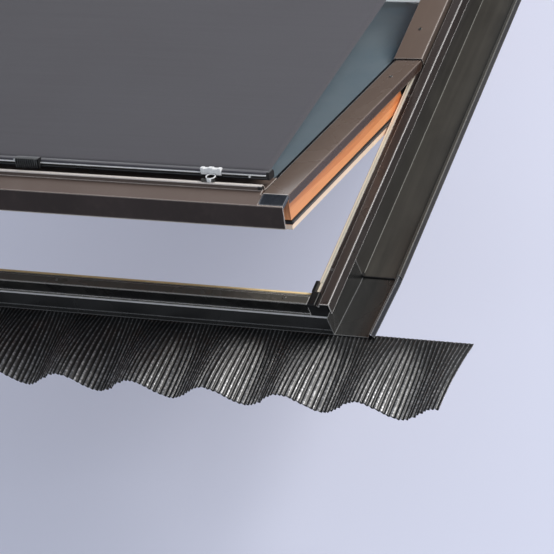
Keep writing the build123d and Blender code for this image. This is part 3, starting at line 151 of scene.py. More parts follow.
def only(piece):
    """Makes one piece the selected and active one."""
    bpy.ops.object.select_all(action="DESELECT")
    piece.select_set(True)
    bpy.context.view_layer.objects.active = piece


FLOOR_Z = -0.42
FLOOR_SIZE = 40.0
FLOOR_SHADE = colour(186, 190, 208)
FLOOR_GLOW = 0.5
bpy.ops.object.select_all(action="DESELECT")
bpy.ops.mesh.primitive_plane_add(size=FLOOR_SIZE, location=(0, 0, FLOOR_Z))
bpy.ops.object.transform_apply()
floor = bpy.context.object
floor.name = "floor"
floor_paint, tree, shader = new_material("floor paint")
shader.inputs["Base Color"].default_value = FLOOR_SHADE
shader.inputs["Roughness"].default_value = 0.9
shader.inputs["Emission Color"].default_value = FLOOR_SHADE
rays = tree.nodes.new("ShaderNodeLightPath")
seen = math_node(tree, "MAXIMUM", rays.outputs["Is Camera Ray"], rays.outputs["Is Transmission Ray"])
tree.links.new(math_node(tree, "MULTIPLY", seen, FLOOR_GLOW), shader.inputs["Emission Strength"])
below = tree.nodes.new("ShaderNodeNewGeometry")
clear = tree.nodes.new("ShaderNodeBsdfTransparent")
either = tree.nodes.new("ShaderNodeMixShader")
tree.links.new(below.outputs["Backfacing"], either.inputs[0])
tree.links.new(shader.outputs[0], either.inputs[1])
tree.links.new(clear.outputs[0], either.inputs[2])
tree.links.new(either.outputs[0], tree.nodes["Material Output"].inputs["Surface"])
floor.data.materials.append(floor_paint)

# Frame timbers. Four boards of clear-lacquered pine make the fixed box that the sash shuts into; only
# the narrow inner edge of each shows from outside, and its upper face is painted pale as painted sunlight.


def paint(material, *names):
    """Gives solid pieces their material."""
    for name in names:
        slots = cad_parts[name].data.materials
        slots.clear()
        slots.append(material)


def new_group(name, inputs, outputs):
    """Shader group with its own sockets, and its two end nodes."""
    group = bpy.data.node_groups.new(name, "ShaderNodeTree")
    for label, kind, value in inputs:
        socket = group.interface.new_socket(label, in_out="INPUT", socket_type=kind)
        if value is not None:
            socket.default_value = value
    for label, kind in outputs:
        group.interface.new_socket(label, in_out="OUTPUT", socket_type=kind)
    return group, group.nodes.new("NodeGroupInput"), group.nodes.new("NodeGroupOutput")


def scaled(tree, vector, scale):
    """Vector multiplied by three factors."""
    made = tree.nodes.new("ShaderNodeVectorMath")
    made.operation = "MULTIPLY"
    tree.links.new(vector, made.inputs[0])
    made.inputs[1].default_value = scale
    return made.outputs[0]


def noise(tree, vector, scale, detail=2.0, distortion=0.0):
    """Noise as a value from 0 to 1."""
    made = add_node(tree, "TexNoise", Scale=scale, Detail=detail, Distortion=distortion)
    tree.links.new(vector, made.inputs["Vector"])
    return made.outputs[0]


SURFACE = [("Color", "NodeSocketColor"), ("Roughness", "NodeSocketFloat"), ("Height", "NodeSocketFloat")]
pine_grain, ends_in, ends_out = new_group(
    "pine grain",
    [
        ("Vector", "NodeSocketVector", None),
        ("Early wood", "NodeSocketColor", colour(226, 160, 108)),
        ("Late wood", "NodeSocketColor", colour(188, 112, 62)),
        ("Rings", "NodeSocketFloat", 42.0),
    ],
    SURFACE,
)
along = scaled(pine_grain, ends_in.outputs["Vector"], (1.0, 0.05, 1.0))
rings = add_node(pine_grain, "TexWave", Distortion=5.0, Detail=2.0, Detail_Scale=0.6)
rings.wave_type = "RINGS"
rings.rings_direction = "Y"
rings.wave_profile = "SAW"
pine_grain.links.new(along, rings.inputs["Vector"])
pine_grain.links.new(ends_in.outputs["Rings"], rings.inputs["Scale"])
pores = noise(pine_grain, scaled(pine_grain, ends_in.outputs["Vector"], (1.0, 0.02, 1.0)), 900.0, 3.0)
broad = noise(pine_grain, along, 18.0, 3.0)
ring_share = spread(pine_grain, rings.outputs["Fac"], 0.45, 1.0, 0.0, 0.85)
wood = mixed(pine_grain, ring_share, ends_in.outputs["Early wood"], ends_in.outputs["Late wood"])
wood = mixed(pine_grain, spread(pine_grain, broad, 0.3, 0.7, 0.0, 0.35), wood, ends_in.outputs["Late wood"])
wood = mixed(pine_grain, spread(pine_grain, pores, 0.5, 0.75, 0.0, 0.3), wood, colour(150, 88, 50))
pine_grain.links.new(wood, ends_out.inputs["Color"])
pine_grain.links.new(spread(pine_grain, pores, 0.3, 0.7, 0.34, 0.5), ends_out.inputs["Roughness"])
pine_grain.links.new(pores, ends_out.inputs["Height"])


def place_group(tree, group, vector, **values):
    """Group placed in a material, reading the given vector, with its own values."""
    made = tree.nodes.new("ShaderNodeGroup")
    made.node_tree = group
    tree.links.new(vector, made.inputs["Vector"])
    for label, value in values.items():
        made.inputs[label.replace("_", " ")].default_value = value
    return made


def object_vector(tree, turned=(0.0, 0.0, 0.0), moved=(0.0, 0.0, 0.0)):
    """The piece's own coordinates in metres, turned and moved."""
    place = tree.nodes.new("ShaderNodeTexCoord")
    mapping = add_node(tree, "Mapping", Rotation=turned, Location=moved)
    tree.links.new(place.outputs["Object"], mapping.inputs["Vector"])
    return mapping.outputs["Vector"]


def bumped(tree, shader, height, strength, distance):
    """Relief from a height, on the shader's normal."""
    bump = add_node(tree, "Bump", Strength=strength, Distance=distance)
    tree.links.new(height, bump.inputs["Height"])
    tree.links.new(bump.outputs["Normal"], shader.inputs["Normal"])


def finished(tree, shader, made, strength, distance):
    """Group's colour, roughness and height led into the shader."""
    tree.links.new(made.outputs["Color"], shader.inputs["Base Color"])
    tree.links.new(made.outputs["Roughness"], shader.inputs["Roughness"])
    bumped(tree, shader, made.outputs["Height"], strength, distance)


def pine(name, early, late, turned, moved, sunlit_top, painted_light_below=-1.0):
    """Lacquered pine; upper faces painted pale by the given share and a foot below the given height painted
    pale, both as painted light.
    """
    material, tree, shader = new_material(name)
    vector = object_vector(tree, turned, moved)
    made = place_group(tree, pine_grain, vector, Early_wood=colour(*early), Late_wood=colour(*late))
    finished(tree, shader, made, strength=0.25, distance=0.0004)
    shader.inputs["Coat Weight"].default_value = 0.35
    shader.inputs["Coat Roughness"].default_value = 0.22
    surface = tree.nodes.new("ShaderNodeNewGeometry")
    parts = tree.nodes.new("ShaderNodeSeparateXYZ")
    tree.links.new(surface.outputs["Normal"], parts.inputs[0])
    # Upward faces and the foot are painted pale: painted light.
    lit_upward = spread(tree, parts.outputs["Z"], 0.6, 0.95, 0.0, sunlit_top)
    heights = tree.nodes.new("ShaderNodeSeparateXYZ")
    tree.links.new(vector, heights.inputs[0])
    foot = spread(tree, heights.outputs["Z"], painted_light_below - FOOT_BLEND, painted_light_below, 0.75, 0.0)
    painted_light_share = math_node(tree, "MAXIMUM", lit_upward, foot)
    pale = mixed(tree, painted_light_share, made.outputs["Color"], colour(255, 244, 224))
    tree.links.new(pale, shader.inputs["Base Color"])
    return material


FOOT_BLEND = 0.0015
ALONG = (0.0, 0.0, 0.0)
ACROSS = (0.0, 0.0, radians(90.0))
# Frame pine: paler than the sash's and nearly white on its upper faces, both painted sunlight.
FRAME_PINE = {"early": (232, 184, 136), "late": (206, 146, 96), "sunlit_top": 0.94}
side_pine = pine("frame pine sides", turned=ALONG, moved=(0.07, 0, -0.11), **FRAME_PINE)
end_pine = pine("frame pine ends", turned=ACROSS, moved=(0.09, 0, -0.08), **FRAME_PINE)
paint(side_pine, "left_frame_timber", "right_frame_timber")
paint(end_pine, "bottom_frame_timber", "top_frame_timber")

# Brackets, their screws, hinge plates, strike plate and guide rod. Pressed steel, zinc plated, screwed
# to the timber; the pivot hinges are lacquered black.
plated_steel, ends_in, ends_out = new_group(
    "plated steel",
    [("Vector", "NodeSocketVector", None), ("Metal", "NodeSocketColor", colour(176, 176, 172))],
    SURFACE,
)
spangle = add_node(plated_steel, "TexVoronoi", Scale=160.0)
plated_steel.links.new(ends_in.outputs["Vector"], spangle.inputs["Vector"])
fine = noise(plated_steel, ends_in.outputs["Vector"], 700.0, 3.0)
cloud = noise(plated_steel, ends_in.outputs["Vector"], 14.0, 3.0)
share = spread(plated_steel, spangle.outputs["Distance"], 0.0, 0.9, 0.0, 0.4)
metal = mixed(plated_steel, share, ends_in.outputs["Metal"], colour(140, 141, 140))
metal = mixed(plated_steel, spread(plated_steel, cloud, 0.45, 0.7, 0.0, 0.5), metal, colour(128, 124, 114))
plated_steel.links.new(metal, ends_out.inputs["Color"])
plated_steel.links.new(spread(plated_steel, fine, 0.3, 0.7, 0.32, 0.52), ends_out.inputs["Roughness"])
plated_steel.links.new(fine, ends_out.inputs["Height"])


def plated(name, metal):
    """Plated or bare metal of one shade."""
    material, tree, shader = new_material(name)
    made = place_group(tree, plated_steel, object_vector(tree), Metal=colour(*metal))
    finished(tree, shader, made, strength=0.2, distance=0.0002)
    shader.inputs["Metallic"].default_value = 0.9
    return material


zinc = plated("zinc plating", (180, 181, 178))
steel = plated("bright steel", (196, 197, 198))
keeper_steel = plated("keeper steel", (70, 70, 72))
paint(zinc, "left_lower_bracket", "right_lower_bracket", "left_upper_bracket", "right_upper_bracket")
paint(zinc, "bracket_screws", "strike_plate", "control_brackets", "flap_hinges")
paint(steel, "guide_rod")

# Frame covers, upper covers and top casing. Folded aluminium sheet, stove-enamelled in grey-brown and
# screwed over the timber; pale lines along the bends are painted highlights, the upper faces are painted
# lighter as painted light, and the enamel carries a little dust in patches.
BEND_RADIUS = 0.0026
enamel_skin, ends_in, ends_out = new_group(
    "enamel skin",
    [
        ("Vector", "NodeSocketVector", None),
        ("Enamel", "NodeSocketColor", colour(104, 92, 87)),
        ("Dust", "NodeSocketColor", colour(150, 143, 136)),
        ("Dust share", "NodeSocketFloat", 0.2),
        ("Film", "NodeSocketFloat", 0.0),
        ("Edge", "NodeSocketColor", colour(190, 186, 182)),
        ("Edge share", "NodeSocketFloat", 0.5),
        ("Gloss", "NodeSocketFloat", 0.4),
    ],
    SURFACE,
)
skin = noise(enamel_skin, ends_in.outputs["Vector"], 520.0, 2.0)
patches = noise(enamel_skin, ends_in.outputs["Vector"], 7.0, 4.0, 0.6)
runs = noise(enamel_skin, scaled(enamel_skin, ends_in.outputs["Vector"], (60.0, 3.0, 60.0)), 1.0, 3.0)
amount = math_node(
    enamel_skin,
    "ADD",
    spread(enamel_skin, patches, 0.42, 0.68, 0.0, 1.0),
    spread(enamel_skin, runs, 0.5, 0.75, 0.0, 1.0),
)
dust_and_top_light_share = math_node(enamel_skin, "MULTIPLY", amount, ends_in.outputs["Dust share"])
surface = enamel_skin.nodes.new("ShaderNodeNewGeometry")
lean = enamel_skin.nodes.new("ShaderNodeSeparateXYZ")
enamel_skin.links.new(surface.outputs["Normal"], lean.inputs[0])
# Upper faces painted lighter in the Dust colour, by the share given for them: painted light.
lit_upward = spread(enamel_skin, lean.outputs["Z"], 0.45, 0.9, 0.0, 1.0)
dust_and_top_light_share = math_node(
    enamel_skin, "ADD", dust_and_top_light_share, math_node(enamel_skin, "MULTIPLY", lit_upward, ends_in.outputs["Film"])
)
toned = mixed(enamel_skin, dust_and_top_light_share, ends_in.outputs["Enamel"], ends_in.outputs["Dust"])
# Pale lines where the bevel normal turns away at the bends: painted highlights.
rounded = add_node(enamel_skin, "Bevel", Radius=BEND_RADIUS)
rounded.samples = 4
facing = enamel_skin.nodes.new("ShaderNodeVectorMath")
facing.operation = "DOT_PRODUCT"
enamel_skin.links.new(rounded.outputs["Normal"], facing.inputs[0])
enamel_skin.links.new(surface.outputs["Normal"], facing.inputs[1])
bend = spread(enamel_skin, facing.outputs["Value"], 0.93, 0.995, 1.0, 0.0)
bend = math_node(enamel_skin, "MULTIPLY", bend, ends_in.outputs["Edge share"])
toned = mixed(enamel_skin, bend, toned, ends_in.outputs["Edge"])
enamel_skin.links.new(toned, ends_out.inputs["Color"])
rough = math_node(
    enamel_skin, "ADD", ends_in.outputs["Gloss"], spread(enamel_skin, patches, 0.3, 0.7, -0.05, 0.09)
)
enamel_skin.links.new(rough, ends_out.inputs["Roughness"])
enamel_skin.links.new(skin, ends_out.inputs["Height"])


def enamel(name, shade, dust_and_lit_top_colour, dust_share, gloss, edge, highlight_share, top_light=0.0):
    """Enamelled aluminium, dusted in patches; upper faces painted lighter in the Dust colour as painted
    light, and edge the colour of painted highlights at the bends.
    """
    material, tree, shader = new_material(name)
    made = place_group(
        tree,
        enamel_skin,
        object_vector(tree),
        Enamel=colour(*shade),
        Dust=colour(*dust_and_lit_top_colour),
        Dust_share=dust_share,
        Film=top_light,
        Edge=colour(*edge),
        Edge_share=highlight_share,
        Gloss=gloss,
    )
    finished(tree, shader, made, strength=0.12, distance=0.0002)
    return material


# Lighter copy of the cover enamel: painted reflection of the sky on the upper covers.
upper_enamel = enamel(
    "upper cover enamel",
    shade=(84, 74, 69),
    dust_and_lit_top_colour=(128, 112, 103),
    dust_share=0.12,
    gloss=0.3,
    edge=(214, 206, 200),
    highlight_share=0.6,
    top_light=0.75,
)
# Darker copy of the same enamel: painted shade of the open sash on the frame covers.
frame_enamel = enamel(
    "frame cover enamel",
    shade=(40, 34, 33),
    dust_and_lit_top_colour=(84, 75, 72),
    dust_share=0.14,
    gloss=0.28,
    edge=(236, 234, 232),
    highlight_share=0.9,
    top_light=0.4,
)
# Near-black copy of the same enamel: painted shade on the bottom frame cover's front faces.
front_enamel = enamel(
    "bottom frame cover enamel",
    shade=(24, 24, 24),
    dust_and_lit_top_colour=(104, 102, 96),
    dust_share=0.1,
    gloss=0.26,
    edge=(240, 238, 234),
    highlight_share=0.95,
    top_light=0.6,
)
paint(upper_enamel, "left_upper_cover", "right_upper_cover")
paint(upper_enamel, "top_casing", "left_casing_end", "right_casing_end")
paint(frame_enamel, "left_frame_cover", "right_frame_cover")
paint(front_enamel, "bottom_frame_cover")

# Weather strips. A strip of pale foam is stuck along the top of each side timber, between its inner
# edge, painted pale as painted light, and the cover, and a yellower one along the bottom timber, made
# bright as a painted highlight of that timber's lit edge; a white strip on the drip edge of the bottom
# frame cover is a painted highlight.


def block(x, y, z):
    """Cube that fills the given range along each axis, selected and alone."""
    bpy.ops.object.select_all(action="DESELECT")
    middle = [(low + high) / 2 for low, high in (x, y, z)]
    bpy.ops.mesh.primitive_cube_add(size=1.0, location=middle)
    piece = bpy.context.object
    piece.scale = [high - low for low, high in (x, y, z)]
    bpy.ops.object.transform_apply()
    return piece


def apply_modifiers(piece):
    """Applies a piece's modifiers in their order."""
    only(piece)
    for modifier in list(piece.modifiers):
        bpy.ops.object.modifier_apply(modifier=modifier.name)


def softened(piece, width, segments=2):
    """Rounds the edges of a piece and shades it smooth between them."""
    rounding = piece.modifiers.new("rounding", "BEVEL")
    rounding.width = width
    rounding.segments = segments
    rounding.limit_method = "ANGLE"
    apply_modifiers(piece)
    bpy.ops.object.shade_smooth_by_angle(angle=radians(35.0))
    return piece


def both_sides(piece):
    """The piece and its mirror image on the other side of the window, as one mesh."""
    piece.modifiers.new("other side", "MIRROR")
    apply_modifiers(piece)
    return piece


def joined(pieces):
    """Several meshes made one."""
    bpy.ops.object.select_all(action="DESELECT")
    for piece in pieces:
        piece.select_set(True)
    bpy.context.view_layer.objects.active = pieces[0]
    bpy.ops.object.join()
    return bpy.context.object


def keep(piece, name, body, material):
    """Names a finished piece, gives it its material and lets it ride on its body."""
    piece.name = name
    piece.data.name = name
    piece.data.materials.append(material)
    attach(piece, body)
    return piece


moulded_skin, ends_in, ends_out = new_group(
    "moulded skin",
    [
        ("Vector", "NodeSocketVector", None),
        ("Body colour", "NodeSocketColor", colour(30, 30, 32)),
        ("Worn colour", "NodeSocketColor", colour(60, 60, 62)),
        ("Worn share", "NodeSocketFloat", 0.3),
        ("Grain", "NodeSocketFloat", 900.0),
        ("Gloss", "NodeSocketFloat", 0.5),
    ],
    SURFACE,
)
grain = add_node(moulded_skin, "TexNoise", Detail=2.0)
moulded_skin.links.new(ends_in.outputs["Vector"], grain.inputs["Vector"])
moulded_skin.links.new(ends_in.outputs["Grain"], grain.inputs["Scale"])
scuffs = noise(moulded_skin, ends_in.outputs["Vector"], 45.0, 5.0, 0.8)
scuffed = spread(moulded_skin, scuffs, 0.48, 0.7, 0.0, 1.0)
worn = math_node(moulded_skin, "MULTIPLY", scuffed, ends_in.outputs["Worn share"])
body = mixed(moulded_skin, worn, ends_in.outputs["Body colour"], ends_in.outputs["Worn colour"])
moulded_skin.links.new(body, ends_out.inputs["Color"])
rough = math_node(
    moulded_skin, "ADD", ends_in.outputs["Gloss"], spread(moulded_skin, scuffs, 0.3, 0.7, -0.06, 0.1)
)
moulded_skin.links.new(rough, ends_out.inputs["Roughness"])
moulded_skin.links.new(grain.outputs[0], ends_out.inputs["Height"])


def moulded(name, body, worn, worn_share, gloss, grain_scale=900.0):
    """Moulded plastic or rubber with a fine grain and a few scuffs."""
    material, tree, shader = new_material(name)
    made = place_group(
        tree,
        moulded_skin,
        object_vector(tree),
        Body_colour=colour(*body),
        Worn_colour=colour(*worn),
        Worn_share=worn_share,
        Grain=grain_scale,
        Gloss=gloss,
    )
    finished(tree, shader, made, strength=0.2, distance=0.0002)
    return material


DRIP_HALF = 0.5720
BOTTOM_STRIP_HALF = 0.5310
TIMBER_TOP = 0.0700
# White strip on the drip bend: painted highlight.
drip_bend = block(x=(-DRIP_HALF, DRIP_HALF), y=(-0.5990, -0.5962), z=(0.0458, 0.0481))
drip_highlight = moulded(
    "drip edge highlight",
    body=(232, 232, 234),
    worn=(190, 190, 192),
    worn_share=0.3,
    gloss=0.3,
)
keep(softened(drip_bend, 0.0005), "drip_edge_highlight", "frame", drip_highlight)
strip_foam = moulded(
    "weather strip foam",
    body=(226, 220, 204),
    worn=(196, 190, 178),
    worn_share=0.3,
    gloss=0.6,
    grain_scale=400.0,
)
strip = block(x=(0.5380, 0.5427), y=(-0.5370, 0.5400), z=(TIMBER_TOP, 0.0713))
keep(both_sides(softened(strip, 0.0004)), "weather_strips", "frame", strip_foam)
# Bright cream strip on the bottom timber: painted highlight of its lit edge.
bottom_strip_highlight = moulded(
    "bottom strip highlight",
    body=(254, 226, 170),
    worn=(240, 206, 150),
    worn_share=0.3,
    gloss=0.6,
    grain_scale=400.0,
)
bottom_strip = block(
    x=(-BOTTOM_STRIP_HALF, BOTTOM_STRIP_HALF), y=(-0.5672, -0.5630), z=(TIMBER_TOP, 0.0718)
)
keep(softened(bottom_strip, 0.0004), "bottom_highlight_strip", "frame", bottom_strip_highlight)

# Rubber seals in the frame's lower corners. Soft black rubber blocks that face the timber's end, with a
# fin that follows its inner edge.
rubber = moulded("seal rubber", body=(20, 20, 22), worn=(52, 52, 54), worn_share=0.25, gloss=0.46)
paint(rubber, "left_corner_seal", "right_corner_seal")

# Side gutters, head flashing and bottom flashing. Lacquered aluminium laid round the outside of the
# frame, with a folded bead along each outer edge and a rubber strip across the joint at each side.
# Pale lines along their bends and folds are painted highlights, and upper faces are painted lighter as
# painted light.
gutter_lacquer = enamel(
    "gutter lacquer",
    shade=(36, 34, 32),
    dust_and_lit_top_colour=(84, 81, 75),
    dust_share=0.22,
    gloss=0.38,
    edge=(170, 172, 166),
    highlight_share=0.4,
    top_light=0.35,
)
# Near-black copy of the gutter lacquer: painted shade on the front flashing.
front_lacquer = enamel(
    "front flashing lacquer",
    shade=(17, 18, 19),
    dust_and_lit_top_colour=(58, 58, 57),
    dust_share=0.12,
    gloss=0.24,
    edge=(190, 192, 194),
    highlight_share=0.4,
    top_light=0.3,
)
paint(gutter_lacquer, "left_side_gutter", "right_side_gutter", "head_flashing")
paint(front_lacquer, "bottom_flashing")
JOINT_Y = -0.4640
GUTTER_FLOOR = 0.0062
joint_strip = block(x=(0.5770, 0.6390), y=(JOINT_Y, -0.4615), z=(GUTTER_FLOOR, 0.0078))
strip_hook = block(x=(0.5746, 0.5775), y=(JOINT_Y, -0.4560), z=(GUTTER_FLOOR, 0.0120))
joint_strip = joined([joint_strip, strip_hook])
keep(both_sides(softened(joint_strip, 0.0005)), "gutter_joint_strips", "frame", rubber)

# Pleated apron. Thin lead-coloured aluminium in narrow pleats, hooked under the bottom flashing and
# dressed by hand into waves along its free edge; each pleat is crimped and lies a little differently.
APRON_TOP_Y = -0.604
LIP_Y = -0.612
APRON_END_Y = -0.778
APRON_TOP_Z = 0.016
TUCK_FALL = 0.088
CREST_X = 0.069
WAVE_PITCH = 0.154
WAVE_MIDDLE_Z = 0.026
WAVE_HEIGHT = 0.020
PLEATS = 198
PLEATS_PER_WAVE = 18
PLEAT_PITCH = WAVE_PITCH / PLEATS_PER_WAVE
PLEAT_DEPTH = 0.0042
DEPTH_SPREAD = 0.25
LEAN_SPREAD = 0.3
CRIMP_PITCH = 0.0042
DENT_DEPTH = 0.0008
APRON_THICK = 0.0008
UNDER_FLASHING = 0.0006
ACROSS_PLEAT = 4
DOWN_APRON = 60
DENT_ROWS = 31
GLINTS_PER_PLEAT = 1.5


def apron_level(x, y):
    """Height of the apron, flat under the flashing and then taking up the waves."""
    if y > LIP_Y:
        return APRON_TOP_Z - TUCK_FALL * (y - LIP_Y)
    share = (y - LIP_Y) / (APRON_END_Y - LIP_Y)
    wave = WAVE_MIDDLE_Z + WAVE_HEIGHT * cos(2 * pi * (x - CREST_X) / WAVE_PITCH)
    return APRON_TOP_Z + (wave - APRON_TOP_Z) * (1 - (1 - share) ** 2)


def shaken(number, salt):
    """Fixed value between -1 and 1 that looks random from one number to the next."""
    return 2 * (sin(number * 12.9898 + salt * 78.233) * 43758.5453 % 1) - 1


bpy.ops.object.select_all(action="DESELECT")
bpy.ops.mesh.primitive_grid_add(x_subdivisions=PLEATS * ACROSS_PLEAT, y_subdivisions=DOWN_APRON, size=2.0)
apron = bpy.context.object
half_width = PLEATS * PLEAT_PITCH / 2
crest_light = []
for vertex in apron.data.vertices:
    across = (vertex.co.x + 1) / 2 * PLEATS
    pleat = int(across + 0.01)
    fold = 0.5 + 0.5 * cos(2 * pi * across)
    down = (1 - vertex.co.y) / 2
    y = APRON_TOP_Y + (APRON_END_Y - APRON_TOP_Y) * down
    x = vertex.co.x * half_width
    lean = LEAN_SPREAD * shaken(pleat, 1) * PLEAT_PITCH * (1 - fold)
    depth = PLEAT_DEPTH * min(1.0, 0.3 + 1.6 * down) * (1 + DEPTH_SPREAD * shaken(pleat, 2))
    crimp = 0.5 + 0.5 * shaken(pleat + DENT_ROWS * int(down * DOWN_APRON), 4)
    dent = DENT_DEPTH * crimp * fold * min(1.0, 4 * down)
    vertex.co = (x + lean * down, y, apron_level(x, y) - UNDER_FLASHING - depth * (1 - fold) - dent)
    # Crest share, raised towards the lower edge, kept as the mask of painted highlights: the lower part is
    # painted brighter.
    crest_light.append(fold * (0.62 + 0.38 * down))
shine = apron.data.attributes.new("fold", "FLOAT", "POINT")
shine.data.foreach_set("value", crest_light)
thickness = apron.modifiers.new("sheet", "SOLIDIFY")
thickness.thickness = APRON_THICK
thickness.offset = -1
apply_modifiers(apron)
bpy.ops.object.shade_smooth()
# Pleat crests painted with highlights, broken into glints along the crimps; between them the near-black is
# the lead colour and painted shade in the hollows.
apron_metal, tree, shader = new_material("apron metal")
made = place_group(
    tree,
    enamel_skin,
    object_vector(tree),
    Enamel=colour(190, 191, 194),
    Dust=colour(236, 237, 240),
    Dust_share=0.4,
    Edge_share=0.0,
    Gloss=0.3,
)
crest = tree.nodes.new("ShaderNodeAttribute")
crest.attribute_name = "fold"
glint_cells = add_node(tree, "TexVoronoi", Scale=1.0)
crimps = scaled(tree, object_vector(tree), (GLINTS_PER_PLEAT / PLEAT_PITCH, 1 / CRIMP_PITCH, 0.0))
tree.links.new(crimps, glint_cells.inputs["Vector"])
glint = spread(tree, glint_cells.outputs["Distance"], 0.15, 0.6, 1.0, 0.3)
lit = math_node(tree, "MULTIPLY", spread(tree, crest.outputs["Fac"], 0.42, 0.88, 0.0, 1.0), glint)
tree.links.new(mixed(tree, lit, colour(31, 32, 33), made.outputs["Color"]), shader.inputs["Base Color"])
tree.links.new(made.outputs["Roughness"], shader.inputs["Roughness"])
bumped(tree, shader, made.outputs["Height"], strength=0.3, distance=0.0003)
shader.inputs["Metallic"].default_value = 0.3
keep(apron, "dressed_apron", "frame", apron_metal)
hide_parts("pleated_apron")

# Cover screws. Zinc-plated pan heads with a cross recess, one at each fixing of the covers; those of the
# upper and the sash covers lean sideways with the sheet that they hold.
HEAD_R = 0.0034
HEAD_HEIGHT = 0.0015
RECESS_LONG = 0.0019
RECESS_NARROW = 0.0004
RECESS = (0.0007, 0.0030)
UPPER_LEAN = radians(1.9)
FRONT_SCREW_X = 0.483
FRONT_SCREW_Y = -0.5835
FRONT_SCREW_Z = 0.0775
SIDE_SCREW_X = 0.5485
SIDE_SCREW_Z = 0.0712
UPPER_SCREW_X = 0.522
UPPER_SCREW_Z = 0.0897
bpy.ops.object.select_all(action="DESELECT")
bpy.ops.mesh.primitive_cylinder_add(
    vertices=24, radius=HEAD_R, depth=HEAD_HEIGHT, location=(0, 0, HEAD_HEIGHT / 2)
)
bpy.ops.object.transform_apply()
screw_head = softened(bpy.context.object, 0.0006, 3)
arms = [
    block(x=(-along_x, along_x), y=(-along_y, along_y), z=RECESS)
    for along_x, along_y in ((RECESS_LONG, RECESS_NARROW), (RECESS_NARROW, RECESS_LONG))
]
for arm in arms:
    recess = screw_head.modifiers.new("cross recess", "BOOLEAN")
    recess.object = arm
    recess.solver = "EXACT"
apply_modifiers(screw_head)
for arm in arms:
    bpy.data.objects.remove(arm)


def screw_heads(places):
    """Copies of the screw head at (x, y, z) places, each leaning sideways by its angle."""
    heads = []
    for x, y, z, lean in places:
        head = screw_head.copy()
        head.data = screw_head.data.copy()
        bpy.context.scene.collection.objects.link(head)
        head.location = (x, y, z)
        head.rotation_euler = (0, lean, 0)
        only(head)
        bpy.ops.object.transform_apply()
        heads.append(head)
    return joined(heads)


frame_places = [(0, FRONT_SCREW_Y, FRONT_SCREW_Z, 0)]
for side in (-1, 1):
    frame_places.append((side * FRONT_SCREW_X, FRONT_SCREW_Y, FRONT_SCREW_Z, 0))
    for y in (-0.505, -0.065):
        frame_places.append((side * SIDE_SCREW_X, y, SIDE_SCREW_Z, 0))
    for y in (0.095, 0.505):
        frame_places.append((side * UPPER_SCREW_X, y, UPPER_SCREW_Z, -side * UPPER_LEAN))
screw_metal = plated("screw zinc", (150, 148, 146))
frame_heads = keep(screw_heads(frame_places), "frame_screw_heads", "frame", screw_metal)
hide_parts("frame_cover_screws")

# Sash timbers. Stiles and rails of lacquered pine, more orange than the frame's edges as painted shade
# and reflected light, with a pale foot on the stiles as painted light; the rebate holds the sealed glass.
SASH_TILT = radians(22.0)
# Sash pine: more orange as painted shade and reflected light; upper faces a little paler, painted light.
SASH_PINE = {"early": (250, 172, 114), "late": (222, 134, 80), "sunlit_top": 0.15}
stile_pine = pine(
    "sash pine stiles", turned=(SASH_TILT, 0, 0), moved=(0.06, 0, -0.09), painted_light_below=-0.0818, **SASH_PINE
)
rail_pine = pine("sash pine rails", turned=ACROSS, moved=(0.05, 0, -0.12), **SASH_PINE)
paint(stile_pine, "left_stile", "right_stile")
paint(rail_pine, "bottom_rail", "top_rail")
hinge_lacquer = moulded("hinge lacquer", body=(26, 25, 25), worn=(70, 68, 66), worn_share=0.3, gloss=0.4)
paint(hinge_lacquer, "left_frame_hinge", "right_frame_hinge", "left_sash_hinge", "right_sash_hinge")

# Sash seal. A black rubber strip, pressed into a groove all round the sash, with a lighter soft bead
# along it that meets the frame when the sash is shut.
PIVOT_Z = 0.052


def stood_open(piece):
    """A sash piece, modelled shut, turned about the pivots to where it stands."""
    pivot = Matrix.Translation((0.0, 0.0, PIVOT_Z))
    piece.matrix_world = pivot @ Matrix.Rotation(-SASH_TILT, 4, "X") @ pivot.inverted()
    only(piece)
    bpy.ops.object.transform_apply()
    return piece


paint(rubber, "sash_seal")
bead_rubber = moulded(
    "seal bead rubber",
    body=(96, 96, 98),
    worn=(120, 120, 122),
    worn_share=0.3,
    gloss=0.5,
)
BEAD_HALF = 0.5560
bead = block(x=(0.5303, 0.5312), y=(-BEAD_HALF, BEAD_HALF), z=(0.0152, 0.0178))
bead = stood_open(both_sides(softened(bead, 0.0004)))
keep(bead, "seal_beads", "sash", bead_rubber)

# Glass and the spacer bar between the panes. Two sheets of float glass, the outer one with a cool
# metal-oxide coating; only half of the outer pane is clear, the rest a plain tinted colour that is a
# painted reflection and view through it. The spacer is a folded aluminium channel.
OUTER_TINT_AND_REFLECTION = (158, 178, 190)
CLEAR_TINT = (214, 226, 228)
GLASS_MIRRORS = 2.1
for name, tint, clearness in (("outer", OUTER_TINT_AND_REFLECTION, 0.5), ("inner", CLEAR_TINT, 0.95)):
    glass, tree, shader = new_material(name + " glass")
    vector = object_vector(tree)
    smear = noise(tree, vector, 9.0, 4.0, 1.0)
    tone = mixed(tree, spread(tree, smear, 0.35, 0.7, 0.0, 0.25), colour(*tint), colour(198, 208, 212))
    tree.links.new(tone, shader.inputs["Base Color"])
    tree.links.new(spread(tree, smear, 0.45, 0.75, 0.02, 0.06), shader.inputs["Roughness"])
    shader.inputs["Transmission Weight"].default_value = clearness
    shader.inputs["IOR"].default_value = GLASS_MIRRORS
    paint(glass, name + "_pane")
spacer_metal = plated("spacer aluminium", (150, 152, 152))
paint(spacer_metal, "spacer_bar")

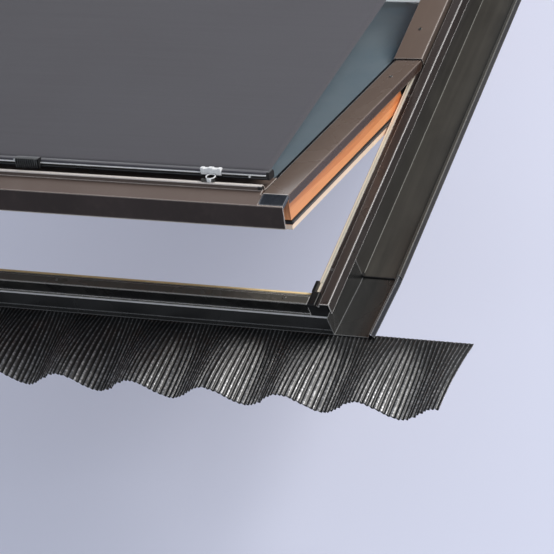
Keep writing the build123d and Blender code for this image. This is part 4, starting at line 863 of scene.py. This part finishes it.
# Glazing gasket and its trim. Black rubber frames the outer pane, and a light grey bead is pressed
# into it just inside the covers.
gasket_rubber = moulded("glazing rubber", body=(16, 18, 20), worn=(40, 44, 48), worn_share=0.3, gloss=0.35)
paint(gasket_rubber, "glazing_gasket")
TRIM_X = 0.4948
TRIM_Y = 0.5215
TRIM_WIDTH = 0.0034
TRIM_Z = 0.0826
TRIM_HEIGHT = 0.0011
bpy.ops.object.select_all(action="DESELECT")
bpy.ops.mesh.primitive_plane_add(size=2.0, location=(0, 0, TRIM_Z))
trim = bpy.context.object
trim.scale = (TRIM_X, TRIM_Y, 1.0)
bpy.ops.object.transform_apply()
bpy.ops.object.mode_set(mode="EDIT")
bpy.ops.mesh.select_all(action="SELECT")
bpy.ops.mesh.inset(thickness=TRIM_WIDTH, use_boundary=True)
bpy.ops.mesh.delete(type="FACE")
bpy.ops.mesh.select_all(action="SELECT")
bpy.ops.mesh.extrude_region_move(TRANSFORM_OT_translate={"value": (0, 0, TRIM_HEIGHT)})
bpy.ops.mesh.select_all(action="SELECT")
bpy.ops.mesh.normals_make_consistent(inside=False)
bpy.ops.object.mode_set(mode="OBJECT")
trim_grey = moulded("glazing trim", body=(150, 150, 152), worn=(120, 120, 122), worn_share=0.25, gloss=0.4)
keep(stood_open(softened(trim, 0.0004)), "glazing_trim", "sash", trim_grey)

# Sash covers. Enamelled aluminium like the frame's, one down each stile and a deep one with a hem
# across the bottom rail.
# Side and bottom sash covers: darker copies of the cover enamel as painted shade on their sides and front,
# with upper faces painted lighter and painted highlights at the bends.
sash_enamel = enamel(
    "sash cover enamel",
    shade=(66, 51, 45),
    dust_and_lit_top_colour=(126, 111, 102),
    dust_share=0.08,
    gloss=0.26,
    edge=(212, 198, 188),
    highlight_share=0.3,
    top_light=0.8,
)
bottom_enamel = enamel(
    "bottom cover enamel",
    shade=(51, 42, 40),
    dust_and_lit_top_colour=(122, 106, 98),
    dust_share=0.05,
    gloss=0.18,
    edge=(240, 228, 220),
    highlight_share=0.9,
    top_light=0.78,
)
paint(sash_enamel, "left_sash_cover", "right_sash_cover")
paint(bottom_enamel, "bottom_sash_cover")
sash_places = [(side * UPPER_SCREW_X, -0.078, 0.0889, -side * UPPER_LEAN) for side in (-1, 1)]
sash_heads = stood_open(screw_heads(sash_places))
keep(sash_heads, "sash_screw_heads", "sash", screw_metal)
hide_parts("sash_cover_screws")
bpy.data.objects.remove(screw_head)
# Pale strips along the bottom cover's lip and hem: painted highlights.
LIP_HALF = 0.4948
HEM_HALF = 0.5505
lip_highlight = block(x=(-LIP_HALF, LIP_HALF), y=(-0.5873, -0.5805), z=(0.0976, 0.1003))
hem = block(x=(-HEM_HALF, HEM_HALF), y=(-0.6244, -0.6226), z=(0.0354, 0.0364))
bend_highlight = moulded("bend highlight", body=(222, 215, 210), worn=(180, 172, 168), worn_share=0.3, gloss=0.3)
keep(stood_open(softened(joined([lip_highlight, hem]), 0.0006)), "sash_bend_highlights", "sash", bend_highlight)
lip_plug = block(x=(0.4872, 0.4956), y=(-0.5884, -0.5785), z=(0.0925, 0.0988))
keep(stood_open(both_sides(softened(lip_plug, 0.0015, 3))), "lip_plugs", "sash", rubber)
# Black strips in the gaps beside the side covers: painted shade in those gaps.
gap_shade_strip = block(x=(0.4945, 0.4986), y=(-0.5935, -0.5160), z=(0.0832, 0.0868))
keep(stood_open(both_sides(softened(gap_shade_strip, 0.0004))), "cover_gap_shade_strips", "sash", rubber)

# Corner caps. Blue-grey moulded plastic, closing the gap between the side covers and the bottom one;
# each has a rounded inner end, painted light as a painted highlight, and a sunk panel that is painted
# dark with the front face as painted shade.


def choose(piece, kind, test):
    """Opens a piece for editing with only the faces, edges or points selected that pass the test."""
    only(piece)
    bpy.ops.object.mode_set(mode="EDIT")
    bpy.ops.mesh.select_mode(type=kind)
    bpy.ops.mesh.select_all(action="DESELECT")
    bpy.ops.object.mode_set(mode="OBJECT")
    points = piece.data.vertices
    if kind == "VERT":
        for point in points:
            point.select = test(point.co)
    elif kind == "EDGE":
        for edge in piece.data.edges:
            edge.select = test(points[edge.vertices[0]].co, points[edge.vertices[1]].co)
    else:
        for face in piece.data.polygons:
            face.select = test(face)
    bpy.ops.object.mode_set(mode="EDIT")


CAP_X = (0.5003, 0.5509)
CAP_Y = (-0.6197, -0.5944)
CAP_Z = (0.0735, 0.0900)
CAP_MIDDLE_Y = sum(CAP_Y) / 2
CAP_MIDDLE_Z = sum(CAP_Z) / 2
FRONT_DROP = 0.0096
REAR_LIFT = 0.0085
CAP_ROUND = 0.005
PANEL_INSET = 0.0022
PANEL_SUNK = 0.0014
SAME = 0.001
cap = block(x=CAP_X, y=CAP_Y, z=CAP_Z)
choose(cap, "VERT", lambda point: point.y < CAP_MIDDLE_Y and point.z > CAP_MIDDLE_Z)
bpy.ops.transform.translate(value=(0, 0, -FRONT_DROP))
bpy.ops.object.mode_set(mode="OBJECT")
choose(cap, "VERT", lambda point: point.y > CAP_MIDDLE_Y and point.z < CAP_MIDDLE_Z)
bpy.ops.transform.translate(value=(0, 0, REAR_LIFT))
bpy.ops.object.mode_set(mode="OBJECT")
choose(cap, "EDGE", lambda a, b: max(a.x, b.x) < CAP_X[0] + SAME and abs(a.y - b.y) < SAME)
bpy.ops.mesh.bevel(offset=CAP_ROUND, segments=4, affect="EDGES")
bpy.ops.object.mode_set(mode="OBJECT")
choose(cap, "FACE", lambda face: face.normal.z > 0.6)
bpy.ops.mesh.inset(thickness=PANEL_INSET, depth=-PANEL_SUNK)
bpy.ops.object.mode_set(mode="OBJECT")
# Sunk panel and front face get the dark colour as painted shade, the rounded inner end the pale colour as a
# painted highlight.
for face in cap.data.polygons:
    if face.select or face.normal.y < -0.9:
        face.material_index = 1
    elif face.normal.x < -0.3:
        face.material_index = 2
cap_plastic = moulded(
    "corner cap plastic",
    body=(62, 66, 74),
    worn=(122, 128, 138),
    worn_share=0.25,
    gloss=0.26,
)
cap_shade = moulded("corner cap painted shade", body=(30, 35, 44), worn=(54, 60, 70), worn_share=0.25, gloss=0.16)
cap_end_highlight = moulded("corner cap end highlight", body=(150, 152, 158), worn=(120, 122, 128), worn_share=0.3, gloss=0.3)
cap = stood_open(both_sides(softened(cap, 0.0005)))
keep(cap, "corner_caps", "sash", cap_plastic)
# Pale strip along the top edge of each cap: painted highlight.
cap_top_highlight = block(x=(0.5006, 0.5508), y=(-0.5951, -0.5941), z=(0.0896, 0.0906))
keep(stood_open(both_sides(softened(cap_top_highlight, 0.0003))), "cover_end_highlights", "sash", bend_highlight)
cap.data.materials.append(cap_shade)
cap.data.materials.append(cap_end_highlight)
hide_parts("left_corner_cap", "right_corner_cap")

# Awning bar. Extruded aluminium, lacquered black, with a white strip where the fabric comes out as a
# painted highlight of its edge, a fine rib along its front with a grey line as a painted highlight,
# moulded ends and a small pin near each end; pale lines at its bends are painted highlights.
BAR_FRONT = -0.566
BAR_TOP = 0.1161
OPEN_STRETCHES = ((0.0260, 0.3640), (0.4080, 0.4965))
LIP_Z = (0.1106, 0.1124)
HEM_Z = (LIP_Z[1], BAR_TOP + 0.0006)
RIB_Z = (0.1044, 0.1053)
PIN_R = 0.0022
PIN_LENGTH = 0.0032
PIN_PLACE = (0.4640, BAR_FRONT - 0.0014, 0.1078)
bar_lacquer = enamel(
    "bar lacquer",
    shade=(13, 14, 16),
    dust_and_lit_top_colour=(40, 42, 46),
    dust_share=0.1,
    gloss=0.3,
    edge=(120, 122, 126),
    highlight_share=0.4,
)
cap_black = moulded("bar cap plastic", body=(22, 23, 25), worn=(60, 60, 62), worn_share=0.2, gloss=0.4)
clip_white = moulded("clip plastic", body=(236, 238, 240), worn=(200, 200, 200), worn_share=0.3, gloss=0.35)
paint(bar_lacquer, "awning_bar")
paint(cap_black, "bar_end_caps")
hems = []
lip_highlights = []
ribs = []
for stretch in OPEN_STRETCHES:
    hems.append(block(x=stretch, y=(BAR_FRONT - 0.0007, BAR_FRONT + 0.0045), z=HEM_Z))
    lip_highlights.append(block(x=stretch, y=(BAR_FRONT - 0.0030, BAR_FRONT + 0.0004), z=LIP_Z))
    ribs.append(block(x=stretch, y=(BAR_FRONT - 0.0006, BAR_FRONT + 0.0005), z=RIB_Z))
# White strip at the bar's top front edge: painted highlight.
lip_highlight = stood_open(both_sides(softened(joined(lip_highlights), 0.0003)))
keep(lip_highlight, "bar_lip_highlight", "sash", clip_white)
# Grey line along the rib: painted highlight on the black lacquer.
rib_highlight = moulded("bar rib highlight", body=(92, 94, 98), worn=(120, 122, 126), worn_share=0.2, gloss=0.35)
rib = stood_open(both_sides(softened(joined(ribs), 0.0002)))
keep(rib, "bar_front_rib", "sash", rib_highlight)
bpy.ops.object.select_all(action="DESELECT")
bpy.ops.mesh.primitive_cylinder_add(
    vertices=20, radius=PIN_R, depth=PIN_LENGTH, location=PIN_PLACE, rotation=(pi / 2, 0, 0)
)
bpy.ops.object.transform_apply()
pin = stood_open(both_sides(softened(bpy.context.object, 0.0006, 3)))
keep(pin, "bar_pins", "sash", clip_white)

# Awning clips and the keepers they hook on. White moulded clips, snapped over the bar's front edge,
# each with a hinged ring that hooks behind a steel pin on the bottom cover.
CLIP_X = 0.386
CLIP_HALF = 0.021
CLIP_HOOD = 0.0026
HOOD_REACH = 0.0062
MIDDLE_EAR = (0.0, 0.0052, 0.0022)
EAR_X = 0.0175
EAR_HALF = 0.0034
EAR_RISE = 0.0016
RING_R = 0.0088
RING_WIRE_R = 0.0013
RING_SQUASH = 0.78
RING_TILT = radians(12.0)
clip_y = (BAR_FRONT - 0.0027, BAR_FRONT - 0.0001)
clip_body = block(x=(CLIP_X - CLIP_HALF, CLIP_X + CLIP_HALF), y=clip_y, z=(BAR_TOP - 0.0090, BAR_TOP))
choose(clip_body, "FACE", lambda face: face.normal.z > 0.9)
bpy.ops.mesh.extrude_region_move(TRANSFORM_OT_translate={"value": (0, 0, CLIP_HOOD)})
bpy.ops.object.mode_set(mode="OBJECT")
choose(clip_body, "FACE", lambda face: face.normal.y > 0.9 and face.center.z > BAR_TOP)
bpy.ops.mesh.extrude_region_move(TRANSFORM_OT_translate={"value": (0, HOOD_REACH, 0)})
bpy.ops.object.mode_set(mode="OBJECT")
ears = []
for x, half, rise in ((-EAR_X, EAR_HALF, EAR_RISE), MIDDLE_EAR, (EAR_X, EAR_HALF, EAR_RISE)):
    ear_x = (CLIP_X + x - half, CLIP_X + x + half)
    ear_z = (BAR_TOP - 0.0062, BAR_TOP + CLIP_HOOD + rise)
    ears.append(block(x=ear_x, y=(BAR_FRONT - 0.0034, BAR_FRONT + 0.0050), z=ear_z))
clip = softened(joined([clip_body] + ears), 0.0009, 3)
bpy.ops.object.select_all(action="DESELECT")
bpy.ops.mesh.primitive_torus_add(
    major_segments=28, minor_segments=10, major_radius=RING_R, minor_radius=RING_WIRE_R
)
ring = bpy.context.object
ring.scale = (1.0, RING_SQUASH, 1.0)
ring.rotation_euler = (RING_TILT, 0, 0)
ring.location = (CLIP_X + 0.003, BAR_FRONT - 0.0105, 0.1082)
bpy.ops.object.transform_apply()
bpy.ops.object.shade_smooth()
nose = block(x=(CLIP_X - 0.0010, CLIP_X + 0.0070), y=(-0.5862, -0.5836), z=(0.1008, 0.1070))
nose = softened(nose, 0.0008, 3)
clips = stood_open(both_sides(joined([clip, ring, nose])))
keep(clips, "awning_clips", "sash", clip_white)
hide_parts("left_awning_clip", "right_awning_clip")
paint(keeper_steel, "clip_keepers")

# Centre grip. Black plastic with ribs whose lighter tops are a painted highlight, scuffed in places,
# moulded round the bar's front edge, with a small lever at one end and a white stud at the other.
grip_black = moulded(
    "grip plastic",
    body=(20, 20, 22),
    worn=(84, 84, 86),
    worn_share=0.35,
    gloss=0.34,
    grain_scale=1400.0,
)
paint(grip_black, "centre_grip")
RIBS = 11
RIB_PITCH = 0.0045
FIRST_RIB_X = -0.0225
RIB_HALF = 0.0009
ribs = []
for number in range(RIBS):
    x = FIRST_RIB_X + number * RIB_PITCH
    rib_x = (x - RIB_HALF, x + RIB_HALF)
    ribs.append(block(x=rib_x, y=(-0.5733, -0.5710), z=(0.1010, 0.1172)))
    ribs.append(block(x=rib_x, y=(-0.5722, -0.5630), z=(0.1165, 0.1190)))
# Grey ribs: painted highlight on the black grip, with scuffs.
grip_rib_highlight = moulded("grip rib highlight", body=(58, 60, 62), worn=(110, 112, 114), worn_share=0.5, gloss=0.34)
keep(stood_open(softened(joined(ribs), 0.0004)), "grip_ribs", "sash", grip_rib_highlight)
lever = block(x=(0.0262, 0.0290), y=(-0.5718, -0.5640), z=(0.1010, 0.1215))
keep(stood_open(softened(lever, 0.0009, 3)), "grip_lever", "sash", grip_black)
stud = block(x=(-0.0292, -0.0262), y=(-0.5690, -0.5655), z=(0.1128, 0.1160))
keep(stood_open(softened(stud, 0.0009, 3)), "grip_stud", "sash", clip_white)

# Awning fabric. One stretched sheet of glass-fibre screen cloth, coated grey, from the bar up into
# the casing, where the rest of it is wound on the tube.
FABRIC_SLOPE = radians(-11.51)
FABRIC_LENGTH = 1.1294
CLOTH_THICK = 0.0006
RIPPLE = 0.0012
BAR_Y = -0.49675
BAR_Z = 0.31741
WEAVE = 285.0


def screen_cloth(name, turned, see_through):
    """Coated screen cloth in a basket weave; see_through is how much shows between its yarns."""
    material, tree, shader = new_material(name)
    vector = object_vector(tree, turned)
    sets = []
    for way in ("X", "Y"):
        yarn = add_node(tree, "TexWave", Scale=WEAVE, Distortion=0.4, Detail_Scale=4.0)
        yarn.bands_direction = way
        tree.links.new(vector, yarn.inputs["Vector"])
        sets.append(yarn.outputs["Color"])
    yarns = mixed(tree, 1.0, sets[0], sets[1], "LIGHTEN")
    slubs = noise(tree, scaled(tree, vector, (4.0, 160.0, 4.0)), 1.0, 3.0)
    cloudy = noise(tree, vector, 3.0, 3.0, 0.5)
    base = mixed(tree, spread(tree, slubs, 0.3, 0.7, 0.0, 0.5), colour(75, 73, 80), colour(84, 82, 89))
    base = mixed(tree, spread(tree, cloudy, 0.35, 0.7, 0.0, 0.4), base, colour(82, 82, 90))
    base = mixed(tree, 0.25, base, yarns, "MULTIPLY")
    tree.links.new(base, shader.inputs["Base Color"])
    shader.inputs["Roughness"].default_value = 0.75
    shader.inputs["Sheen Weight"].default_value = 0.15
    shader.inputs["Alpha"].default_value = 1.0 - see_through
    height = tree.nodes.new("ShaderNodeRGBToBW")
    tree.links.new(yarns, height.inputs[0])
    bumped(tree, shader, height.outputs[0], strength=0.35, distance=0.0003)
    return material


cloth = screen_cloth("screen cloth", turned=(-FABRIC_SLOPE, 0, 0), see_through=0.05)
hem_cloth = screen_cloth("hem cloth", turned=(SASH_TILT, 0, 0), see_through=0.0)
keep(stood_open(both_sides(softened(joined(hems), 0.0005))), "fabric_hem", "sash", hem_cloth)
low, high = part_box("awning_fabric")
bpy.ops.object.select_all(action="DESELECT")
bpy.ops.mesh.primitive_grid_add(x_subdivisions=60, y_subdivisions=70, size=1.0)
sheet = bpy.context.object
for vertex in sheet.data.vertices:
    x = vertex.co.x * (high.x - low.x)
    run = (vertex.co.y + 0.5) * FABRIC_LENGTH
    ripple = RIPPLE * sin(pi * run / FABRIC_LENGTH) * sin(9.0 * x + 2.0 * sin(5.0 * run))
    y = BAR_Y + run * cos(FABRIC_SLOPE) - ripple * sin(FABRIC_SLOPE)
    z = BAR_Z + run * sin(FABRIC_SLOPE) + ripple * cos(FABRIC_SLOPE)
    vertex.co = (x, y, z)
thickness = sheet.modifiers.new("cloth", "SOLIDIFY")
thickness.thickness = CLOTH_THICK
thickness.offset = 0
apply_modifiers(sheet)
bpy.ops.object.shade_smooth()
keep(sheet, "awning_cloth", "fabric", cloth)
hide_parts("awning_fabric")
wound = screen_cloth("wound cloth", turned=(0, 0, 0), see_through=0.0)
paint(wound, "wound_fabric")
paint(steel, "roller_tube")

# Control bar, ventilation flap and latch, on the inner side of the top rail. The bar is a lacquered
# aluminium grip, the flap moulded plastic and the latch bolt steel.
# Paler lines along the control bar's bends are painted highlights.
handle_lacquer = enamel(
    "control bar lacquer",
    shade=(186, 186, 184),
    dust_and_lit_top_colour=(206, 206, 204),
    dust_share=0.1,
    gloss=0.3,
    edge=(220, 220, 220),
    highlight_share=0.4,
)
flap_plastic = moulded(
    "vent flap plastic",
    body=(196, 194, 188),
    worn=(160, 158, 152),
    worn_share=0.2,
    gloss=0.45,
)
paint(handle_lacquer, "control_bar")
paint(flap_plastic, "vent_flap")
paint(steel, "latch_bolt")
